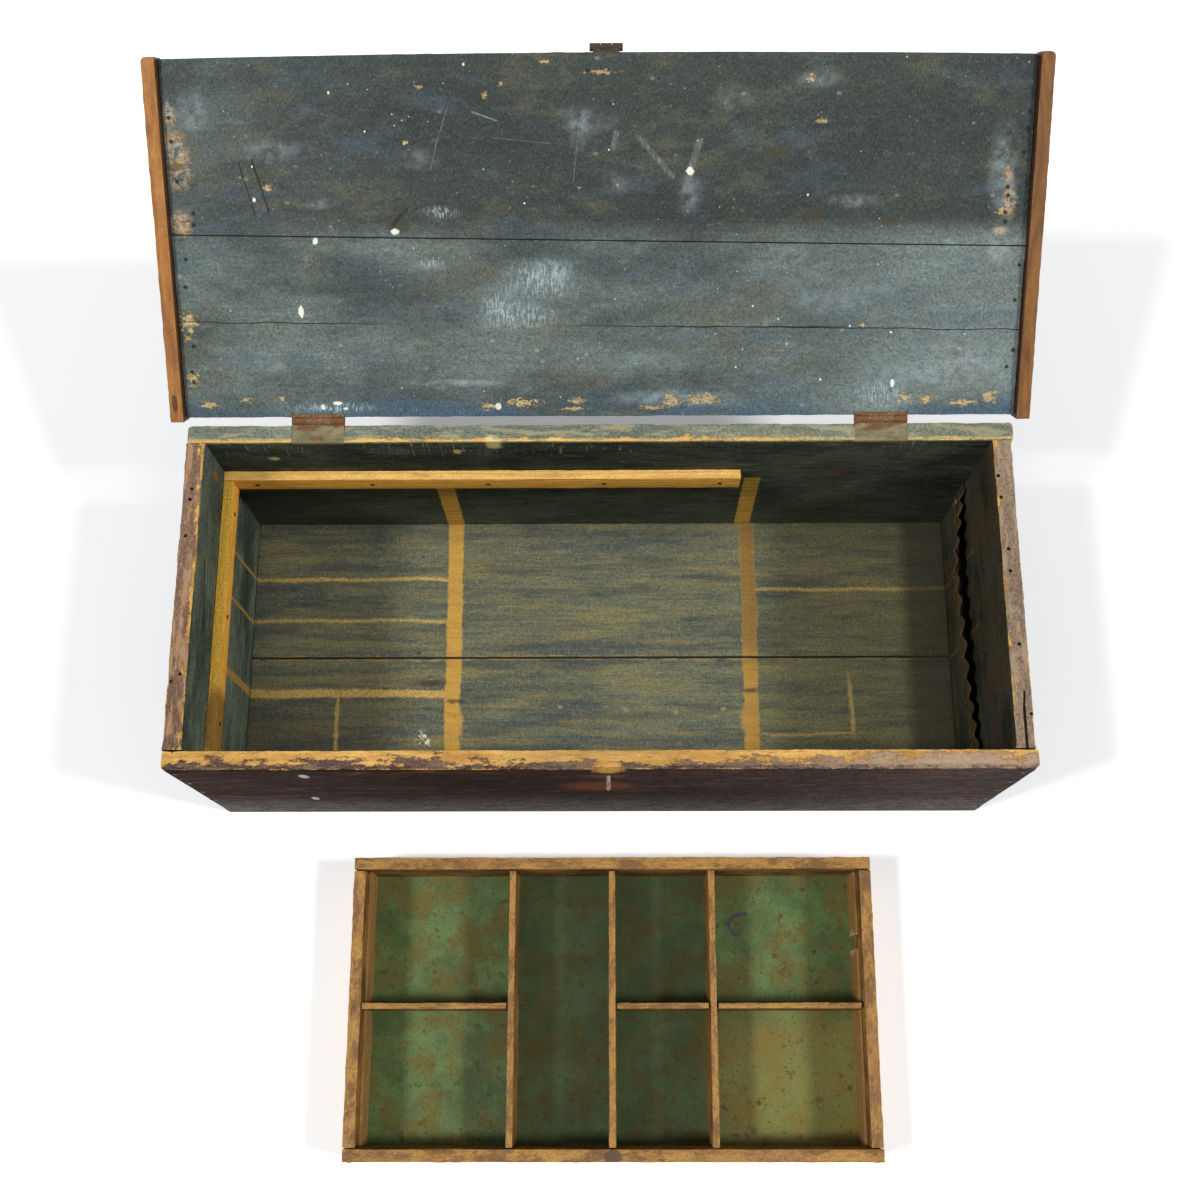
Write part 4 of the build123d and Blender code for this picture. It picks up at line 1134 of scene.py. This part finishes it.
for plank, node, low, high in (
    (back_plank, "lid_plank_back", (-lid_half, -0.01, lid_under), (lid_half, lid_back_y, lid_top)),
    (front_plank, "lid_plank_front", (-lid_half, lid_front_y, lid_under), (lid_half, 0.03, lid_top)),
):
    swing_open(plank)
    lid_paint = lid_plank_finish(node + "_paint", low, high)
    plank.data.materials.append(lid_paint)
    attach(plank, "lid")
    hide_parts(node)


# The hinges' upper leaves lie in the lid's underside and were painted over with it, so that only
# their knuckles and a few worn places show rusty iron.

finish = lid_plank_finish("lid_leaf_paint", (-lid_half, -0.01, lid_under), (lid_half, 0.21, lid_top))
shader = finish.node_tree.nodes["Principled BSDF"]
spot = add_node("TexCoord", {}, out="Object", tree=finish.node_tree)
closed, _ = lid_space(spot, spot)
y = apart(closed)[1]
ragged = mottle(spot, 0.01, detail=9.0, rough=0.78)
kept = fade(ragged - fade(y, 0.188, 0.1925), 0.28, 0.36)
paint = Signal(shader.inputs["Base Color"].links[0].from_socket)
crumbs = cloudy(closed, 0.0045, 0.62, 0.66, detail=7.0, rough=0.8)
paint = tint(crumbs * fade(y, 0.176, 0.187), paint, (0.7, 0.68, 0.58))
pits = mottle(spot, 0.002, detail=5.0, rough=0.75)
rust = tint(fade(pits, 0.35, 0.65), (0.3, 0.155, 0.06), (0.075, 0.04, 0.02))
rough = 0.5 + ragged * 0.3
height = pits * 0.6 + kept
end_finish(shader, tint(kept, rust, paint), rough, height, 0.0004)
refinish(["hinge_left_lid_leaf", "hinge_right_lid_leaf", "hinge_lid_screws"], finish)


# The lid's end rails: harder reddish wood stained and varnished, nailed over the ends of both
# planks and standing below them, with their front corners rounded off by handling.

for side, node in ((-1, "lid_rail_left"), (1, "lid_rail_right")):
    inner, outer = sorted((side * lid_half, side * (lid_half + rail_thick)))
    low = (inner, lid_front_y + 0.002, lid_under - rail_drop)
    high = (outer, lid_back_y + 0.004, lid_top)
    rail = saw_board(
        node + "_batten", low, high, ((1,), (13, 9), (2,)), arris=0.0012, dips=0.0016,
        posts=lambda p, side=side: p.y < 0 and p.x * side > lid_half + 0.01,
    )
    swing_open(rail)
    finish, shader, spot, facing = start_finish(node + "_stain", along=1)
    spot, facing = lid_space(spot, facing)
    grain = pine_grain(spot, 0.6)
    # The right rail is painted darker than the left, as painted shade.
    painted_rail_shade = 1.0 if side < 0 else 0.55
    colour = tint(
        grain, [c * painted_rail_shade for c in (0.47, 0.205, 0.048)], [c * painted_rail_shade for c in (0.25, 0.092, 0.02)]
    )
    film = cloudy(spot, 0.045, 0.46, 0.68, (1, 3, 1), detail=9.0, rough=0.7)
    colour = tint(film * 0.6, colour, (0.15, 0.058, 0.022))
    colour = gritty(spot, colour, 0.0016, 0.25)
    edge = edge_distance(spot, low, high)
    ragged = mottle(spot, 0.01, detail=7.0, rough=0.7)
    rubbed = fade(edge / 0.002 + ragged * 4, 2.5, 2.0)
    colour = tint(rubbed * 0.6, colour, (0.22, 0.085, 0.035))
    knot = blot(spot, (-0.467, 0.176, lid_under - rail_drop), (0.0035, 0.01, 0.01), ragged - 0.5)
    colour = tint(knot * 0.8, colour, (0.05, 0.02, 0.01))
    joint = between(maths("ABSOLUTE", apart(spot)[0]), lid_half - 0.0004, lid_half + 0.001, 0.0004)
    colour = tint(joint * 0.85, colour, (0.03, 0.012, 0.007))
    colour = specks_and_dents(spot, colour)
    rough = 0.42 + ragged * 0.25
    end_finish(shader, colour, rough, grain * -1.0, 0.0005)
    rail.data.materials.append(finish)
    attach(rail, "lid")
    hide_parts(node)


# The lift-out tray: a shallow pine box, its front and back nailed over the sides and its dividers
# nailed through them. The outside is honey-coloured; inside and on top it has gone brown with
# handling, and the cross dividers show strong dark rings.

def tray_board_finish(name, low, high, along, rings, outward):
    """Tray wood: clean and golden outside, browner inside and darkest along the handled top."""
    finish, shader, spot, facing, colour, grain, _ = raw_pine_finish(
        name, along, (0.42, 0.215, 0.05), (0.24, 0.105, 0.022), (0.13, 0.058, 0.014), 0.5
    )
    top = fade(apart(facing)[2], 0.4, 0.8)
    if rings:
        depth = apart(spot)[2] + mottle(spot, 0.06, 4, detail=2.0) * 0.016
        stripes = fade(maths("SINE", depth * 1500.0), 0.3, 0.95)
        colour = tint(stripes * 0.6, colour, (0.07, 0.032, 0.01))
    inner = 1.0 - top
    if outward:
        faced = vector_maths("DOT_PRODUCT", facing, outward, out="Value")
        outside = fade(faced, 0.3, 0.7)
        inner = inner * (1.0 - outside)
        honey = tint(grain, (0.58, 0.335, 0.085), (0.4, 0.205, 0.045))
        smoke = cloudy(spot, 0.05, 0.52, 0.7, 3, detail=9.0, rough=0.7)
        honey = tint(smoke * 0.55, honey, (0.27, 0.145, 0.048))
        colour = tint(outside, colour, gritty(spot, honey, 0.0016, 0.2))
    stains = cloudy(spot, 0.04, 0.42, 0.6, 1.4, detail=10.0, rough=0.72)
    colour = tint(stains * inner * 0.8, colour, (0.09, 0.038, 0.009))
    blotches = cloudy(spot, 0.014, 0.44, 0.58, 2.4, detail=10.0, rough=0.78)
    worn_top = tint(blotches, (0.43, 0.225, 0.05), (0.2, 0.098, 0.03))
    reddish = cloudy(spot, 0.03, 0.5, 0.62, 3, detail=6.0, rough=0.7)
    worn_top = tint(reddish * 0.4, worn_top, (0.28, 0.125, 0.05))
    greyed = cloudy(spot, 0.01, 0.57, 0.66, 2, detail=8.0, rough=0.75)
    worn_top = tint(greyed * 0.6, worn_top, (0.13, 0.095, 0.062))
    fibres = mottle(spot, 0.0014, 12, detail=4.0, rough=0.75)
    worn_top = tint(fade(fibres, 0.5, 0.72, 0.0, 0.65), worn_top, (0.075, 0.036, 0.014))
    colour = tint(top, colour, gritty(spot, worn_top, 0.0018, 0.35))
    edge = edge_distance(spot, low, high)
    ragged = mottle(spot, 0.007, 2, detail=8.0, rough=0.75)
    bright = fade(edge / 0.0014 + ragged * 4, 2.3, 1.8)
    colour = tint(bright * 0.55, colour, (0.5, 0.265, 0.075))
    colour = specks_and_dents(spot, colour)
    rough = 0.5 + ragged * 0.3
    return finish, shader, spot, colour, rough, grain


tray_boards = {
    "tray_front": (0, ((13, 13), (1,), (7,)), False, (0, -1, 0)),
    "tray_back": (0, ((13, 13), (1,), (7,)), False, (0, 1, 0)),
    "tray_side_left": (1, ((1,), (11, 7), (7,)), False, (-1, 0, 0)),
    "tray_side_right": (1, ((1,), (11, 7), (7,)), False, (1, 0, 0)),
    "tray_divider_left": (1, ((1,), (11, 7), (5,)), False, None),
    "tray_divider_middle": (1, ((1,), (11, 7), (5,)), False, None),
    "tray_divider_right": (1, ((1,), (11, 7), (5,)), False, None),
    "tray_cross_left": (0, ((40,), (1,), (5,)), True, None),
    "tray_cross_middle": (0, ((30,), (1,), (5,)), True, None),
    "tray_cross_right": (0, ((40,), (1,), (5,)), True, None),
}
for node, (along, cuts, rings, outward) in tray_boards.items():
    low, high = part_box(node)
    board = saw_board(
        node + "_board", low, high, cuts, arris=0.0013, dips=0.0017, snug=lambda p: p.z < 0.006
    )
    finish, shader, spot, colour, rough, grain = tray_board_finish(
        node + "_pine", low, high, along, rings, outward
    )
    if node == "tray_front":
        ragged = mottle(spot, 0.006, detail=5.0)
        rags = (ragged - 0.5) * 0.8
        knot = blot(spot, (0.013, -0.586, 0.075), (0.01, 0.009, 0.01), rags)
        tail = either(
            blot(spot, (0.022, -0.591, 0.055), (0.012, 0.02, 0.02), rags),
            blot(spot, (0.034, -0.591, 0.04), (0.012, 0.02, 0.014), rags),
        )
        colour = tint(tail * 0.75, colour, (0.29, 0.115, 0.055))
        colour = tint(knot * 0.9, colour, (0.1, 0.055, 0.032))
    end_finish(shader, colour, rough, grain * -1.0, 0.0006)
    board.data.materials.append(finish)
    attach(board, "tray")
    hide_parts(node)


# The tray's floor: one thin panel painted sea green before the dividers went in, spotted with
# rust from the iron wares that lay on it and dulled brown in clouds. The narrow middle cells are
# painted darker, as painted shade from their close walls.

finish, shader, spot, _ = start_finish("tray_floor_green")
clouds = cloudy(spot, 0.06, 0.36, 0.64, detail=9.0, rough=0.7)
colour = tint(clouds, (0.05, 0.09, 0.022), (0.104, 0.17, 0.047))
streaks = cloudy(spot, 0.004, 0.48, 0.72, (1, 5, 1), detail=5.0, rough=0.7)
colour = tint(streaks * 0.12, colour, (0.16, 0.21, 0.09))
film = cloudy(spot, 0.045, 0.46, 0.58, detail=10.0, rough=0.75)
colour = tint(film * 0.8, colour, (0.125, 0.095, 0.018))
x, y, _ = apart(spot)
# Painted shade: the floor of the narrow middle cells is painted darker.
middle_cells_shade = between(x, -0.1, 0.125, 0.006) * 0.56
colour = tint(middle_cells_shade, colour, (0.016, 0.022, 0.004))
ochre = fade(x, 0.1, 0.16) * fade(y, -0.4, -0.46)
colour = tint(ochre * 0.5, colour, (0.24, 0.18, 0.034))
rust_clouds = cloudy(spot, 0.013, 0.565, 0.62, detail=10.0, rough=0.85)
colour = tint(rust_clouds * 0.75, colour, (0.145, 0.07, 0.02))
spots = either(flecks(spot, 0.009, 0.14), flecks(spot, 0.024, 0.13), flecks(spot, 0.0045, 0.13))
spotty = cloudy(spot, 0.03, 0.4, 0.55, detail=6.0)
colour = tint(spots * spotty * 0.8, colour, (0.085, 0.038, 0.013))
colour = gritty(spot, colour, 0.0016, 0.3)
smear_points = (
    (171, -317), (163, -317.5), (156, -320), (151.5, -325), (150.5, -331), (153, -337), (159, -342)
)
smear = either(*(
    stroke(
        spot, (x0 / 1000, y0 / 1000, 0.005), (x1 / 1000, y1 / 1000, 0.005), 0.0042 - 0.0002 * index
    )
    for index, ((x0, y0), (x1, y1)) in enumerate(zip(smear_points, smear_points[1:]))
))
colour = tint(smear * 0.8, colour, (0.03, 0.055, 0.08))
rough = 0.45 + film * 0.3
end_finish(shader, colour, rough, rust_clouds + streaks * 0.3, 0.0002)
refinish(["tray_floor"], finish)


# The liners: thin split-wood strips stood against the tray's end walls, the right back one broken
# through with a pale splinter at the break.

for node in ("tray_liner_left", "tray_liner_right"):
    finish, shader, spot, _, colour, grain, _ = raw_pine_finish(
        node + "_wood", 1, (0.4, 0.225, 0.065), (0.23, 0.11, 0.028), (0.125, 0.078, 0.025), 0.48
    )
    ragged = mottle(spot, 0.008, detail=6.0)
    if node == "tray_liner_right":
        broken = blot(spot, (0.293, -0.352, 0.025), (0.02, 0.014, 0.03), ragged - 0.5)
        colour = tint(broken * 0.6, colour, (0.62, 0.5, 0.3))
    colour = specks_and_dents(spot, colour)
    rough = 0.55 + ragged * 0.25
    end_finish(shader, colour, rough, grain * -1.0, 0.0005)
    refinish([node], finish)


bpy.ops.object.select_all(action="DESELECT")
